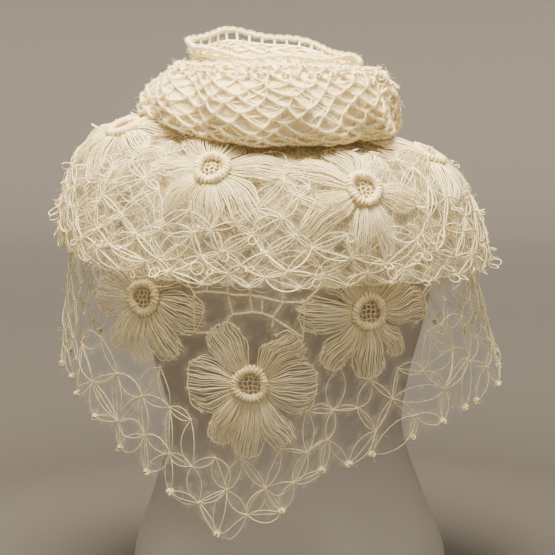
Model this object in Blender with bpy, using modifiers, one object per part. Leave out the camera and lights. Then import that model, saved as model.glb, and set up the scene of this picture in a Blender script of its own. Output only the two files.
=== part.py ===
"""A crocheted mohair shawl worn on a limbless dress form, in metres, +Z up, the front facing -Y.

The form is a smooth torso that stands on its flat hip. A first length of the triangular shawl hangs over
it with its point in front, the tails lie over the shoulders as a second length, and the plain net of the
long side is wound round the neck. Loom flowers are set into both hanging lengths, and knotted lace with
picot ends edges them. Each length of cloth is an open surface with a Solidify wall.
"""

import math
from collections import namedtuple

import bmesh
import bpy
from mathutils import Vector

# Driving sizes
CLOTH = 0.0020
FOLDED_NET = 0.0025
PETAL_WALL = 0.0018
SEAM_GAP = 0.0004
SEAM_TURN = 0.0018
FLOWER_RADIUS = 0.062
PETALS = 7
HEART_HOLE = 0.0065
RING_RADIUS = 0.0138
RING_CORD = 0.0038
PICOT = 0.0038
PICOT_BULGE = 0.0062
CLOTH_CENTRE_X = -0.012
GAP_SHARE = 0.66

# The dress form's sections, from the flat hip that it stands on to the neck cap.
Section = namedtuple("Section", "z half_width half_depth shift_x shift_y")
FORM_SECTIONS = (
    Section(z=0.000, half_width=0.164, half_depth=0.112, shift_x=0.004, shift_y=0.006),
    Section(z=0.004, half_width=0.168, half_depth=0.116, shift_x=0.004, shift_y=0.006),
    Section(z=0.060, half_width=0.164, half_depth=0.115, shift_x=0.004, shift_y=0.006),
    Section(z=0.120, half_width=0.142, half_depth=0.102, shift_x=0.002, shift_y=0.003),
    Section(z=0.188, half_width=0.122, half_depth=0.086, shift_x=0.000, shift_y=0.000),
    Section(z=0.245, half_width=0.130, half_depth=0.090, shift_x=-0.002, shift_y=-0.003),
    Section(z=0.305, half_width=0.147, half_depth=0.104, shift_x=-0.005, shift_y=-0.009),
    Section(z=0.350, half_width=0.157, half_depth=0.113, shift_x=-0.007, shift_y=-0.011),
    Section(z=0.395, half_width=0.159, half_depth=0.110, shift_x=-0.011, shift_y=-0.006),
    Section(z=0.427, half_width=0.152, half_depth=0.100, shift_x=-0.013, shift_y=-0.001),
    Section(z=0.450, half_width=0.132, half_depth=0.088, shift_x=-0.013, shift_y=0.001),
    Section(z=0.475, half_width=0.104, half_depth=0.082, shift_x=-0.013, shift_y=0.002),
    Section(z=0.4885, half_width=0.088, half_depth=0.073, shift_x=-0.013, shift_y=0.002),
    Section(z=0.495, half_width=0.070, half_depth=0.062, shift_x=-0.013, shift_y=0.001),
    Section(z=0.503, half_width=0.056, half_depth=0.054, shift_x=-0.012, shift_y=0.000),
    Section(z=0.546, half_width=0.049, half_depth=0.049, shift_x=-0.012, shift_y=-0.002),
    Section(z=0.552, half_width=0.045, half_depth=0.045, shift_x=-0.012, shift_y=-0.002),
)
FORM_SIDES = 28
FORM_SQUARENESS = 2.25

# A ring of cloth round the form: how far it stands out on four sides, and its height on each.
Ring = namedtuple("Ring", "left right front back z_front z_left z_right z_back")
UPPER_RINGS = (
    Ring(0.086, 0.086, 0.072, 0.072, z_front=0.495, z_left=0.518, z_right=0.494, z_back=0.513),
    Ring(0.128, 0.126, 0.106, 0.100, z_front=0.482, z_left=0.509, z_right=0.483, z_back=0.501),
    Ring(0.171, 0.163, 0.138, 0.126, z_front=0.464, z_left=0.497, z_right=0.469, z_back=0.482),
    Ring(0.199, 0.190, 0.160, 0.146, z_front=0.435, z_left=0.472, z_right=0.445, z_back=0.454),
    Ring(0.213, 0.206, 0.168, 0.156, z_front=0.405, z_left=0.437, z_right=0.413, z_back=0.420),
    Ring(0.218, 0.214, 0.171, 0.162, z_front=0.380, z_left=0.408, z_right=0.386, z_back=0.390),
    Ring(0.217, 0.219, 0.173, 0.165, z_front=0.360, z_left=0.386, z_right=0.364, z_back=0.362),
)
LOWER_YOKE_RINGS = (
    Ring(0.087, 0.087, 0.073, 0.073, z_front=0.492, z_left=0.515, z_right=0.491, z_back=0.510),
    Ring(0.128, 0.124, 0.104, 0.096, z_front=0.473, z_left=0.500, z_right=0.473, z_back=0.490),
    Ring(0.163, 0.155, 0.130, 0.118, z_front=0.451, z_left=0.482, z_right=0.456, z_back=0.467),
    Ring(0.187, 0.178, 0.145, 0.134, z_front=0.422, z_left=0.457, z_right=0.430, z_back=0.439),
)
# The hanging skirt of the lower length: four sides at even steps from the yoke to the hem.
Girth = namedtuple("Girth", "left right front back")
SKIRT_GIRTHS = (
    Girth(left=0.187, right=0.178, front=0.145, back=0.134),
    Girth(left=0.200, right=0.194, front=0.151, back=0.144),
    Girth(left=0.208, right=0.207, front=0.152, back=0.149),
    Girth(left=0.212, right=0.220, front=0.150, back=0.153),
    Girth(left=0.213, right=0.232, front=0.146, back=0.155),
)
# The lower hem's height round the body. The shawl's point hangs a little left of the front.
HemPoint = namedtuple("HemPoint", "degrees z")
LOWER_HEM = (
    HemPoint(degrees=-180, z=0.290),
    HemPoint(degrees=-110, z=0.274),
    HemPoint(degrees=-68, z=0.248),
    HemPoint(degrees=-52, z=0.216),
    HemPoint(degrees=-42, z=0.188),
    HemPoint(degrees=-25, z=0.152),
    HemPoint(degrees=-11.25, z=0.113),
    HemPoint(degrees=0, z=0.135),
    HemPoint(degrees=11.25, z=0.176),
    HemPoint(degrees=33.75, z=0.206),
    HemPoint(degrees=56, z=0.226),
    HemPoint(degrees=90, z=0.262),
    HemPoint(degrees=130, z=0.282),
    HemPoint(degrees=180, z=0.290),
)
OUTER_WRAP_RINGS = (
    Ring(0.096, 0.092, 0.084, 0.082, z_front=0.505, z_left=0.527, z_right=0.507, z_back=0.526),
    Ring(0.119, 0.112, 0.108, 0.100, z_front=0.493, z_left=0.520, z_right=0.499, z_back=0.517),
    Ring(0.132, 0.124, 0.124, 0.112, z_front=0.489, z_left=0.517, z_right=0.498, z_back=0.515),
    Ring(0.130, 0.123, 0.131, 0.118, z_front=0.499, z_left=0.528, z_right=0.508, z_back=0.524),
    Ring(0.125, 0.121, 0.131, 0.119, z_front=0.517, z_left=0.539, z_right=0.524, z_back=0.539),
    Ring(0.113, 0.115, 0.123, 0.113, z_front=0.537, z_left=0.550, z_right=0.542, z_back=0.554),
    Ring(0.101, 0.106, 0.108, 0.102, z_front=0.553, z_left=0.559, z_right=0.554, z_back=0.565),
    Ring(0.095, 0.099, 0.094, 0.094, z_front=0.561, z_left=0.563, z_right=0.556, z_back=0.571),
    Ring(0.0793, 0.0813, 0.0773, 0.0783, z_front=0.557, z_left=0.557, z_right=0.551, z_back=0.566),
)
INNER_WRAP_RINGS = (
    Ring(0.069, 0.068, 0.064, 0.066, z_front=0.524, z_left=0.534, z_right=0.522, z_back=0.536),
    Ring(0.075, 0.073, 0.067, 0.071, z_front=0.542, z_left=0.558, z_right=0.542, z_back=0.560),
    Ring(0.082, 0.080, 0.071, 0.080, z_front=0.554, z_left=0.570, z_right=0.557, z_back=0.580),
    Ring(0.086, 0.085, 0.075, 0.088, z_front=0.562, z_left=0.577, z_right=0.564, z_back=0.592),
    Ring(0.087, 0.086, 0.077, 0.091, z_front=0.567, z_left=0.582, z_right=0.569, z_back=0.601),
)

# A soft fold stands out where the cloth has fullness: its place round the body, spread and depth.
Fold = namedtuple("Fold", "degrees spread depth")
UPPER_FOLDS = (
    Fold(degrees=-158, spread=13, depth=0.010),
    Fold(degrees=-112, spread=12, depth=0.009),
    Fold(degrees=-52, spread=10, depth=0.008),
    Fold(degrees=-26, spread=8, depth=0.006),
    Fold(degrees=2, spread=9, depth=0.008),
    Fold(degrees=38, spread=9, depth=0.009),
    Fold(degrees=62, spread=8, depth=0.005),
    Fold(degrees=101, spread=12, depth=0.008),
    Fold(degrees=149, spread=12, depth=0.010),
)
LOWER_FOLDS = (
    Fold(degrees=-168, spread=12, depth=0.007),
    Fold(degrees=-128, spread=11, depth=0.008),
    Fold(degrees=-86, spread=10, depth=0.008),
    Fold(degrees=-58, spread=8, depth=0.009),
    Fold(degrees=-20, spread=8, depth=0.006),
    Fold(degrees=9, spread=8, depth=0.005),
    Fold(degrees=44, spread=8, depth=0.009),
    Fold(degrees=72, spread=8, depth=0.007),
    Fold(degrees=108, spread=12, depth=0.008),
    Fold(degrees=146, spread=11, depth=0.007),
)
# The gathers of the wound net run on a slant, as the tail is pulled round.
WRAP_GATHERS = 10
WRAP_GATHER_DEPTH = 0.0045
WRAP_SLANT = -0.09
COLLAR_WAVES = 7
COLLAR_WAVE_DEPTH = 0.0030

# A petal's rows from its root out, as shares of the flower's radius. The puff is its rise in metres.
PetalRow = namedtuple("PetalRow", "out half_width crown puff")
PETAL_ROWS = (
    PetalRow(out=0.30, half_width=0.14, crown=0.00, puff=0.0),
    PetalRow(out=0.60, half_width=0.245, crown=0.00, puff=0.0028),
    PetalRow(out=0.86, half_width=0.345, crown=0.03, puff=0.0014),
    PetalRow(out=0.96, half_width=0.22, crown=0.04, puff=0.0),
)
# Where each loom flower sits: its length of cloth, its place, the turn of its first petal, and how
# far its sheet clears the wall, so that its flat facets pass over the curve.
FlowerPlace = namedtuple("FlowerPlace", "name layer degrees down turn clear")
FLOWERS = (
    FlowerPlace("upper_front_left", "upper", degrees=-19, down=2.18, turn=14, clear=0.0010),
    FlowerPlace("upper_front_right", "upper", degrees=26, down=2.72, turn=4, clear=0.0015),
    FlowerPlace("upper_right", "upper", degrees=72, down=1.90, turn=0, clear=0.0012),
    FlowerPlace("upper_back_right", "upper", degrees=131, down=2.35, turn=8, clear=0.0015),
    FlowerPlace("upper_back", "upper", degrees=184, down=2.45, turn=0, clear=0.0012),
    FlowerPlace("upper_back_left", "upper", degrees=-128, down=2.35, turn=16, clear=0.0013),
    FlowerPlace("upper_left", "upper", degrees=-68, down=1.70, turn=6, clear=0.0014),
    FlowerPlace("lower_left", "lower", degrees=-36.5, down=4.06, turn=10, clear=0.0007),
    FlowerPlace("lower_right", "lower", degrees=25.5, down=4.20, turn=2, clear=0.0007),
    FlowerPlace("lower_point", "lower", degrees=-6, down=4.56, turn=7, clear=0.0007),
)
# Each length of cloth is two walls, front and back, that meet at the sides. Their lace is a grid of
# diamonds under a band of plain net, and is cut through from one step down.
LaceHalf = namedtuple("LaceHalf", "name layer from_degrees columns net_rows lace_top steps open_from")
LACE_HALVES = (
    LaceHalf("upper_lace_front", "upper", -90, columns=16, net_rows=1, lace_top=0.8, steps=12, open_from=7),
    LaceHalf("upper_lace_back", "upper", 90, columns=12, net_rows=1, lace_top=0.8, steps=12, open_from=8),
    LaceHalf("lower_lace_front", "lower", -90, columns=16, net_rows=4, lace_top=3.3, steps=12, open_from=2),
    LaceHalf("lower_lace_back", "lower", 90, columns=12, net_rows=4, lace_top=3.3, steps=12, open_from=8),
)
# Larger gaps show between the front flowers, under the neck wrap.
NECK_GAP_STEPS = (1, 2)
NECK_GAP_REACH = 45
# Cells nearer than this share of a flower's radius are left out, so that it fills its own hole.
BLOOM_CLEAR = 0.76
YOKE_STEPS = len(LOWER_YOKE_RINGS) - 1

# Colours
MOHAIR = (0.86, 0.78, 0.62)
MOHAIR_SHADE = (0.80, 0.70, 0.52)
FORM_SHELL = (0.50, 0.46, 0.42)


def clear_scene():
    """Remove whatever the scene holds."""
    for obj in list(bpy.data.objects):
        bpy.data.objects.remove(obj)


def material(name, colour, roughness):
    """A plain Principled finish."""
    made = bpy.data.materials.new(name)
    made.use_nodes = True
    shader = made.node_tree.nodes["Principled BSDF"]
    shader.inputs["Base Color"].default_value = (*colour, 1.0)
    shader.inputs["Roughness"].default_value = roughness
    shader.inputs["Metallic"].default_value = 0.0
    return made


def spline(rows, at):
    """A smooth curve through rows of numbers, read at a fractional row."""
    first = min(max(int(math.floor(at)), 0), len(rows) - 2)
    t = at - first
    b, c = rows[first], rows[first + 1]
    a = rows[first - 1] if first else [2 * p - q for p, q in zip(b, c)]
    d = rows[first + 2] if first + 2 < len(rows) else [2 * q - p for p, q in zip(b, c)]
    return [
        0.5 * (2 * q + (r - p) * t + (2 * p - 5 * q + 4 * r - s) * t * t + (3 * q - p - 3 * r + s) * t**3)
        for p, q, r, s in zip(a, b, c, d)
    ]


def girth_point(girth, height, theta, swell):
    """The point of an oval girth at an angle from the front, moved out by swell."""
    left, right, front, back = girth
    half_width = (right + left) / 2 + (right - left) / 2 * math.sin(theta)
    half_depth = (front + back) / 2 + (front - back) / 2 * math.cos(theta)
    return Vector((
        CLOTH_CENTRE_X + (half_width + swell) * math.sin(theta),
        -(half_depth + swell) * math.cos(theta),
        height,
    ))


def side_blend(z_front, z_left, z_right, z_back, theta):
    """A height that passes smoothly through its four sides."""
    forward, sideways = math.cos(theta), math.sin(theta)
    ahead = z_front if forward > 0 else z_back
    beside = z_right if sideways > 0 else z_left
    return ahead * forward**2 + beside * sideways**2


def fold_swell(folds, theta):
    """How far the folds push the cloth out at an angle."""
    total = 0.0
    for fold in folds:
        away = (math.degrees(theta) - fold.degrees + 180) % 360 - 180
        total += fold.depth * math.exp(-((away / fold.spread) ** 2))
    return total


def hem_height(theta):
    """The lower hem's height at an angle from the front."""
    degrees = (math.degrees(theta) + 180) % 360 - 180
    for index in range(len(LOWER_HEM) - 1):
        if degrees <= LOWER_HEM[index + 1].degrees:
            break
    start, end = LOWER_HEM[index], LOWER_HEM[index + 1]
    share = (degrees - start.degrees) / (end.degrees - start.degrees)
    return start.z + (end.z - start.z) * share


def ring_surface(rings, theta, down, swell):
    """A point of a cloth that is given by its rings."""
    row = spline(rings, down)
    return girth_point(row[:4], side_blend(*row[4:], theta), theta, swell)


def upper_cloth(theta, down):
    """The tails over the shoulders, from the neck at 0 to the hem at 6."""
    ease = max(0.0, (down - 2.5) / (len(UPPER_RINGS) - 3.5)) ** 1.4
    return ring_surface(UPPER_RINGS, theta, down, fold_swell(UPPER_FOLDS, theta) * ease)


def lower_cloth(theta, down):
    """The first length: a yoke from 0 to 3, and then the skirt down to the hem at 6."""
    if down <= YOKE_STEPS:
        return ring_surface(LOWER_YOKE_RINGS, theta, down, 0.0)
    hang = (down - YOKE_STEPS) / 3
    girth = spline(SKIRT_GIRTHS, hang * (len(SKIRT_GIRTHS) - 1))
    top = side_blend(*LOWER_YOKE_RINGS[-1][4:], theta)
    height = top + (hem_height(theta) - top) * hang
    return girth_point(girth, height, theta, fold_swell(LOWER_FOLDS, theta) * hang**1.5)


def outer_wrap(turn, along):
    """The net wound round the neck, from its inner foot, out and over, to its inner lip."""
    middle = math.sin(math.pi * along / (len(OUTER_WRAP_RINGS) - 1))
    gather = WRAP_GATHER_DEPTH * math.cos(WRAP_GATHERS * turn) * middle
    return ring_surface(OUTER_WRAP_RINGS, turn + WRAP_SLANT * along, along, gather)


def inner_wrap(theta, along):
    """The inner turn of the net, which stands as a waved collar behind the neck."""
    rise = along / (len(INNER_WRAP_RINGS) - 1)
    wave = COLLAR_WAVE_DEPTH * rise**1.5
    point = ring_surface(INNER_WRAP_RINGS, theta, along, wave * math.cos(COLLAR_WAVES * theta))
    point.z += wave * math.sin(COLLAR_WAVES * theta + 0.8)
    return point


CLOTHS = {"upper": upper_cloth, "lower": lower_cloth}
STEP = 1e-4


def frame_at(cloth, theta, down):
    """Across, up and outward unit vectors of a cloth at a place."""
    across = cloth(theta + STEP, down) - cloth(theta - STEP, down)
    fall = cloth(theta, down + STEP) - cloth(theta, down - STEP)
    outward = fall.cross(across).normalized()
    across = Vector((0, 0, 1)).cross(outward)
    across = across.normalized() * -1
    return across, outward.cross(across) * -1, outward


def place_on(cloth, centre, x, y, lift):
    """The point of a cloth that lies x across and y up from centre, moved out by lift."""
    theta, down = centre
    origin = cloth(theta, down)
    across, up, outward = frame_at(cloth, theta, down)
    for _ in range(6):
        here = cloth(theta, down) - origin
        by_theta = (cloth(theta + STEP, down) - cloth(theta - STEP, down)) / (2 * STEP)
        by_down = (cloth(theta, down + STEP) - cloth(theta, down - STEP)) / (2 * STEP)
        miss_x, miss_y = x - here.dot(across), y - here.dot(up)
        a, b = by_theta.dot(across), by_down.dot(across)
        c, d = by_theta.dot(up), by_down.dot(up)
        scale = a * d - b * c
        theta += (miss_x * d - miss_y * b) / scale
        down += (miss_y * a - miss_x * c) / scale
    return cloth(theta, down) + frame_at(cloth, theta, down)[2] * lift


def link(name, mesh, finish, collection):
    """A named object in the garment's collection."""
    obj = bpy.data.objects.new(name, mesh)
    mesh.materials.append(finish)
    collection.objects.link(obj)
    return obj


def wall(obj, thickness):
    """Give an open surface its thickness, half on each side."""
    solid = obj.modifiers.new("Wall", "SOLIDIFY")
    solid.thickness = thickness
    solid.offset = 0.0
    return solid


def make_form(finish, collection):
    """The torso: a loft through its sections, capped flat at the hip and the neck."""
    shape = bmesh.new()
    loops = []
    for section in FORM_SECTIONS:
        loop = []
        for side in range(FORM_SIDES):
            angle = 2 * math.pi * side / FORM_SIDES
            cos, sin = math.cos(angle), math.sin(angle)
            squeeze = (abs(cos) ** FORM_SQUARENESS + abs(sin) ** FORM_SQUARENESS) ** (-1 / FORM_SQUARENESS)
            loop.append(shape.verts.new((
                section.shift_x + section.half_width * cos * squeeze,
                section.shift_y + section.half_depth * sin * squeeze,
                section.z,
            )))
        loops.append(loop)
    for low, high in zip(loops, loops[1:]):
        for side in range(FORM_SIDES):
            after = (side + 1) % FORM_SIDES
            shape.faces.new((low[side], low[after], high[after], high[side]))
    shape.faces.new(reversed(loops[0]))
    shape.faces.new(loops[-1])
    mesh = bpy.data.meshes.new("dress_form")
    shape.to_mesh(mesh)
    shape.free()
    obj = link("dress_form", mesh, finish, collection)
    mesh.shade_smooth()
    mesh.set_sharp_from_angle(angle=math.radians(50))
    return obj


def make_wrap(name, cloth, rings, gathers, finish, collection):
    """A closed turn of net round the neck, four sides to a gather, with a wall."""
    sides = 4 * gathers
    shape = bmesh.new()
    rows = [
        [shape.verts.new(cloth(2 * math.pi * side / sides, row)) for side in range(sides)]
        for row in range(len(rings))
    ]
    for first, second in zip(rows, rows[1:]):
        for side in range(sides):
            after = (side + 1) % sides
            shape.faces.new((first[side], second[side], second[after], first[after]))
    mesh = bpy.data.meshes.new(name)
    shape.to_mesh(mesh)
    shape.free()
    obj = link(name, mesh, finish, collection)
    mesh.shade_smooth()
    wall(obj, FOLDED_NET)


class LaceWall:
    """Half a length of cloth: plain net at the top, and below it diamonds of knotted lace."""

    def __init__(self, half):
        self.cloth = CLOTHS[half.layer]
        self.half = half
        self.blooms = [
            self.cloth(math.radians(flower.degrees), flower.down)
            for flower in FLOWERS
            if flower.layer == half.layer
        ]
        self.shape = bmesh.new()
        self.knots = {}
        self.bulges = []
        self.gaps = 0

    def theta(self, column):
        """The angle of a column; the two end ones stand clear of the seam with the other half."""
        degrees = self.half.from_degrees + 180 * column / self.half.columns
        if column == 0:
            return math.radians(degrees) + SEAM_TURN
        if column == self.half.columns:
            return math.radians(degrees) - SEAM_TURN
        return math.radians(degrees)

    def down(self, step):
        """The cloth's own measure of the way down at a lace step. Steps below 0 are plain net."""
        if step < 0:
            return self.half.lace_top * (1 + step / self.half.net_rows)
        return self.half.lace_top + (6 - self.half.lace_top) * step / self.half.steps

    def place(self, column, step):
        return self.cloth(self.theta(column), self.down(step))

    def knot(self, column, step):
        """The vertex where threads are knotted, made once."""
        if (column, step) not in self.knots:
            self.knots[column, step] = self.shape.verts.new(self.place(column, step))
        return self.knots[column, step]

    def picot(self, column, step):
        """The crocheted ball that ends a hem point, as five corners from side to side."""
        tip = self.place(column, step)
        drop = (tip - self.place(column, step - 0.3)).normalized() * PICOT
        across = (self.place(column + 0.1, step) - tip).normalized() * PICOT
        corners = [
            self.shape.verts.new(tip + across * aside + drop * below)
            for aside, below in ((-1.0, 0.0), (-0.8, 0.9), (0.0, 1.5), (0.8, 0.9), (1.0, 0.0))
        ]
        self.shape.faces.new(corners)
        self.bulges += corners
        return [corners[0], corners[-1]]

    def is_open(self, column, step):
        """Whether this diamond is one of the gaps that are cut through."""
        if step >= self.half.open_from:
            return True
        from_front = abs(math.degrees(self.theta(column)))
        return self.half.name == "upper_lace_front" and step in NECK_GAP_STEPS and from_front < NECK_GAP_REACH

    def diamond(self, column, step):
        """One cell between its knots: above at step, beside at step + 1, below at step + 2."""
        middle = self.place(column, step + 1)
        if any((middle - bloom).length < FLOWER_RADIUS * BLOOM_CLEAR for bloom in self.blooms):
            return
        at_first, at_last = column == 0, column == self.half.columns
        corners = []
        if step >= 0 or at_first or at_last:
            corners.append(self.knot(column, max(step, 0)))
        if not at_first:
            corners.append(self.knot(column - 0.5, step + 1))
        if step + 2 == self.half.steps and not (at_first or at_last):
            corners += self.picot(column, step + 2)
        else:
            corners.append(self.knot(column, step + 2))
        if not at_last:
            corners.append(self.knot(column + 0.5, step + 1))
        if not self.is_open(column, step):
            self.shape.faces.new(corners)
            return
        middle = sum((corner.co for corner in corners), Vector()) / len(corners)
        inner = [self.shape.verts.new(middle.lerp(corner.co, GAP_SHARE)) for corner in corners]
        for index, corner in enumerate(corners):
            before = index - 1
            self.shape.faces.new((corners[before], corner, inner[index], inner[before]))
        self.gaps += 1

    def drop_stray_corners(self):
        """Remove faces that hang on by one corner, beside the flowers, and any loose vertex."""
        pinched = True
        while pinched:
            pinched = [knot for knot in self.shape.verts if knot.link_faces and not knot.is_manifold]
            faces = {face for knot in pinched for face in knot.link_faces}
            bmesh.ops.delete(self.shape, geom=list(faces), context="FACES")
        loose = [knot for knot in self.shape.verts if not knot.link_faces]
        bmesh.ops.delete(self.shape, geom=loose, context="VERTS")
        self.shape.verts.index_update()
        bmesh.ops.recalc_face_normals(self.shape, faces=self.shape.faces)

    def build(self, finish, collection):
        """Fill the grid but for what the flowers cover, and give the surface its wall."""
        for row in range(-self.half.net_rows, 0):
            for column in range(self.half.columns):
                self.shape.faces.new((
                    self.knot(column, row),
                    self.knot(column, row + 1),
                    self.knot(column + 1, row + 1),
                    self.knot(column + 1, row),
                ))
        for step in range(-1, self.half.steps - 1):
            for half_column in range(2 * self.half.columns + 1):
                if (half_column + step) % 2 == 0:
                    self.diamond(half_column / 2, step)
        self.drop_stray_corners()
        mesh = bpy.data.meshes.new(self.half.name)
        self.shape.to_mesh(mesh)
        obj = link(self.half.name, mesh, finish, collection)
        thick = obj.vertex_groups.new(name="picots")
        thick.add([knot.index for knot in self.bulges if knot.is_valid], 1.0, "REPLACE")
        self.shape.free()
        mesh.shade_smooth()
        solid = wall(obj, PICOT_BULGE)
        solid.vertex_group = "picots"
        solid.thickness_vertex_group = CLOTH / PICOT_BULGE
        print(f"{self.half.name}: {self.gaps} gaps")


def make_flower(place, finish, ring_finish, collection):
    """A loom flower: petals round a small open heart, and the raised crochet ring on it."""
    cloth = CLOTHS[place.layer]
    centre = (math.radians(place.degrees), place.down)
    lift = CLOTH / 2 + place.clear + PETAL_WALL / 2
    shape = bmesh.new()

    def spot(radius, aside, angle, raised):
        x = radius * math.cos(angle) - aside * math.sin(angle)
        y = radius * math.sin(angle) + aside * math.cos(angle)
        return shape.verts.new(place_on(cloth, centre, x, y, lift + raised))

    turn = math.radians(place.turn)
    spread = math.pi / PETALS
    edges = [turn + spread * (2 * index - 1) for index in range(PETALS)]
    hearts = [spot(HEART_HOLE, 0, angle, 0) for angle in edges]
    roots = [spot(PETAL_ROWS[0].out * FLOWER_RADIUS, 0, angle, 0) for angle in edges]
    for petal in range(PETALS):
        after = (petal + 1) % PETALS
        shape.faces.new((hearts[petal], roots[petal], roots[after], hearts[after]))
        angle = turn + 2 * spread * petal
        low = None
        for row in PETAL_ROWS[1:]:
            high = [
                spot(
                    FLOWER_RADIUS * (row.out + (row.crown if side == 0 else 0)),
                    FLOWER_RADIUS * row.half_width * side,
                    angle,
                    0 if side else row.puff,
                )
                for side in (-1, 0, 1)
            ]
            if low is None:
                shape.faces.new((roots[petal], high[0], high[1], high[2], roots[after]))
            else:
                shape.faces.new((low[0], high[0], high[1], low[1]))
                shape.faces.new((low[1], high[1], high[2], low[2]))
            low = high
    bmesh.ops.recalc_face_normals(shape, faces=shape.faces)
    mesh = bpy.data.meshes.new("flower_" + place.name)
    shape.to_mesh(mesh)
    shape.free()
    obj = link("flower_" + place.name, mesh, finish, collection)
    mesh.shade_smooth()
    wall(obj, PETAL_WALL)
    make_ring(place, cloth, centre, lift + PETAL_WALL / 2 + SEAM_GAP + RING_CORD, ring_finish, collection)


def make_ring(place, cloth, centre, lift, finish, collection):
    """The thick crocheted ring that binds the petals' roots, laid on them."""
    name = "flower_ring_" + place.name
    curve = bpy.data.curves.new(name, "CURVE")
    curve.dimensions = "3D"
    curve.bevel_depth = RING_CORD
    curve.bevel_resolution = 1
    line = curve.splines.new("POLY")
    count = 10
    line.points.add(count - 1)
    line.use_cyclic_u = True
    for index in range(count):
        angle = 2 * math.pi * index / count
        x, y = RING_RADIUS * math.cos(angle), RING_RADIUS * math.sin(angle)
        line.points[index].co = (*place_on(cloth, centre, x, y, lift), 1.0)
    obj = bpy.data.objects.new(name, curve)
    curve.materials.append(finish)
    collection.objects.link(obj)


def main():
    clear_scene()
    garment = bpy.data.collections.new("crochet_shawl")
    bpy.context.scene.collection.children.link(garment)
    mohair = material("mohair", MOHAIR, 0.9)
    crochet = material("mohair_crochet", MOHAIR_SHADE, 0.85)
    shell = material("form_shell", FORM_SHELL, 0.45)

    make_form(shell, garment)
    make_wrap("neck_wrap_outer", outer_wrap, OUTER_WRAP_RINGS, WRAP_GATHERS, mohair, garment)
    make_wrap("neck_wrap_inner", inner_wrap, INNER_WRAP_RINGS, COLLAR_WAVES, mohair, garment)

    for half in LACE_HALVES:
        LaceWall(half).build(mohair, garment)
    for place in FLOWERS:
        make_flower(place, mohair, crochet, garment)


main()
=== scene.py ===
"""Looks of a crocheted mohair shawl worn on a limbless dress form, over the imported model."""

import math
from collections import namedtuple

import bpy
import numpy as np
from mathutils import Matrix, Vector
from mathutils.kdtree import KDTree


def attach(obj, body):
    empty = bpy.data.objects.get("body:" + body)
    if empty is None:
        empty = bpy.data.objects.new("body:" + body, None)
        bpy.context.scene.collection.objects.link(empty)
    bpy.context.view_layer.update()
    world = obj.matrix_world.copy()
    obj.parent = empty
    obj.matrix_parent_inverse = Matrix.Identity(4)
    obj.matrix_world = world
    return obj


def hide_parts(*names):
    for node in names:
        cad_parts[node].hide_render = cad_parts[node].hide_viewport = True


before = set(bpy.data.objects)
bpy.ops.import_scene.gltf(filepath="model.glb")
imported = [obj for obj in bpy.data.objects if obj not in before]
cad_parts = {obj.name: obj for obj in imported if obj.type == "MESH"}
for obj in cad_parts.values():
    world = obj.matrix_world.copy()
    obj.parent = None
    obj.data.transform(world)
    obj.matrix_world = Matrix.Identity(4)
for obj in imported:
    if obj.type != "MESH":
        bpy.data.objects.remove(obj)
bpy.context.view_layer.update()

# The dress form is a smooth limbless display torso, a matte grey shell moulded in one piece.
# It stands on its flat hip, and the shawl rests on its shoulders and hides its neck.
Section = namedtuple("Section", "z half_width half_depth shift_x shift_y")
FORM_SECTIONS = (
    Section(0.000, 0.164, 0.112, 0.004, 0.006),
    Section(0.004, 0.168, 0.116, 0.004, 0.006),
    Section(0.060, 0.164, 0.115, 0.004, 0.006),
    Section(0.120, 0.142, 0.102, 0.002, 0.003),
    Section(0.188, 0.122, 0.086, 0.000, 0.000),
    Section(0.245, 0.130, 0.090, -0.002, -0.003),
    Section(0.305, 0.147, 0.104, -0.005, -0.009),
    Section(0.350, 0.157, 0.113, -0.007, -0.011),
    Section(0.395, 0.159, 0.110, -0.011, -0.006),
    Section(0.427, 0.152, 0.100, -0.013, -0.001),
    Section(0.450, 0.132, 0.088, -0.013, 0.001),
    Section(0.475, 0.104, 0.082, -0.013, 0.002),
    Section(0.4885, 0.088, 0.073, -0.013, 0.002),
    Section(0.495, 0.070, 0.062, -0.013, 0.001),
    Section(0.503, 0.056, 0.054, -0.012, 0.000),
    Section(0.546, 0.049, 0.049, -0.012, -0.002),
    Section(0.552, 0.045, 0.045, -0.012, -0.002),
)
FORM_SQUARENESS = 2.25
FORM_SIDES = 96
FORM_ROWS_A_SECTION = 4
FORM_GREY = (0.385, 0.345, 0.295, 1)
FORM_GREY_WORN = (0.36, 0.322, 0.275, 1)
FORM_EDGE_DEGREES = 50


def read_rows(rows, at):
    """A smooth curve through the rows of a table, read at fractional rows."""
    rows, at = np.asarray(rows, float), np.asarray(at, float)
    first = np.clip(np.floor(at).astype(int), 0, len(rows) - 2)
    t = (at - first)[..., None]
    rows = np.vstack([2 * rows[0] - rows[1], rows, 2 * rows[-1] - rows[-2]])
    a, b, c, d = (rows[first + step] for step in range(4))
    square, cube = 2 * a - 5 * b + 4 * c - d, 3 * b - a - 3 * c + d
    return 0.5 * (2 * b + (c - a) * t + square * t**2 + cube * t**3)


class Value:
    """A node's output that takes part in sums, so that shader maths reads as arithmetic."""

    def __init__(self, tree, socket):
        self.tree, self.socket = tree, socket

    def maths(self, operation, first, second):
        node = self.tree.nodes.new("ShaderNodeMath")
        node.operation = operation
        for socket, given in zip(node.inputs, (first, second)):
            plug(self.tree, given, socket)
        return Value(self.tree, node.outputs[0])

    def __add__(self, other):
        return self.maths("ADD", self, other)

    def __sub__(self, other):
        return self.maths("SUBTRACT", self, other)

    def __rsub__(self, other):
        return self.maths("SUBTRACT", other, self)

    def __mul__(self, other):
        return self.maths("MULTIPLY", self, other)

    def above(self, edge, softness):
        """0 below an edge, 1 above it, and a soft step between."""
        risen = self.maths("MAXIMUM", (self - edge) * (1 / softness), 0.0)
        return self.maths("MINIMUM", risen, 1.0)

    __radd__ = __add__
    __rmul__ = __mul__


def plug(tree, given, socket):
    """Give a socket its value, or a link."""
    if isinstance(given, Value):
        tree.links.new(given.socket, socket)
    else:
        socket.default_value = given


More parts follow.
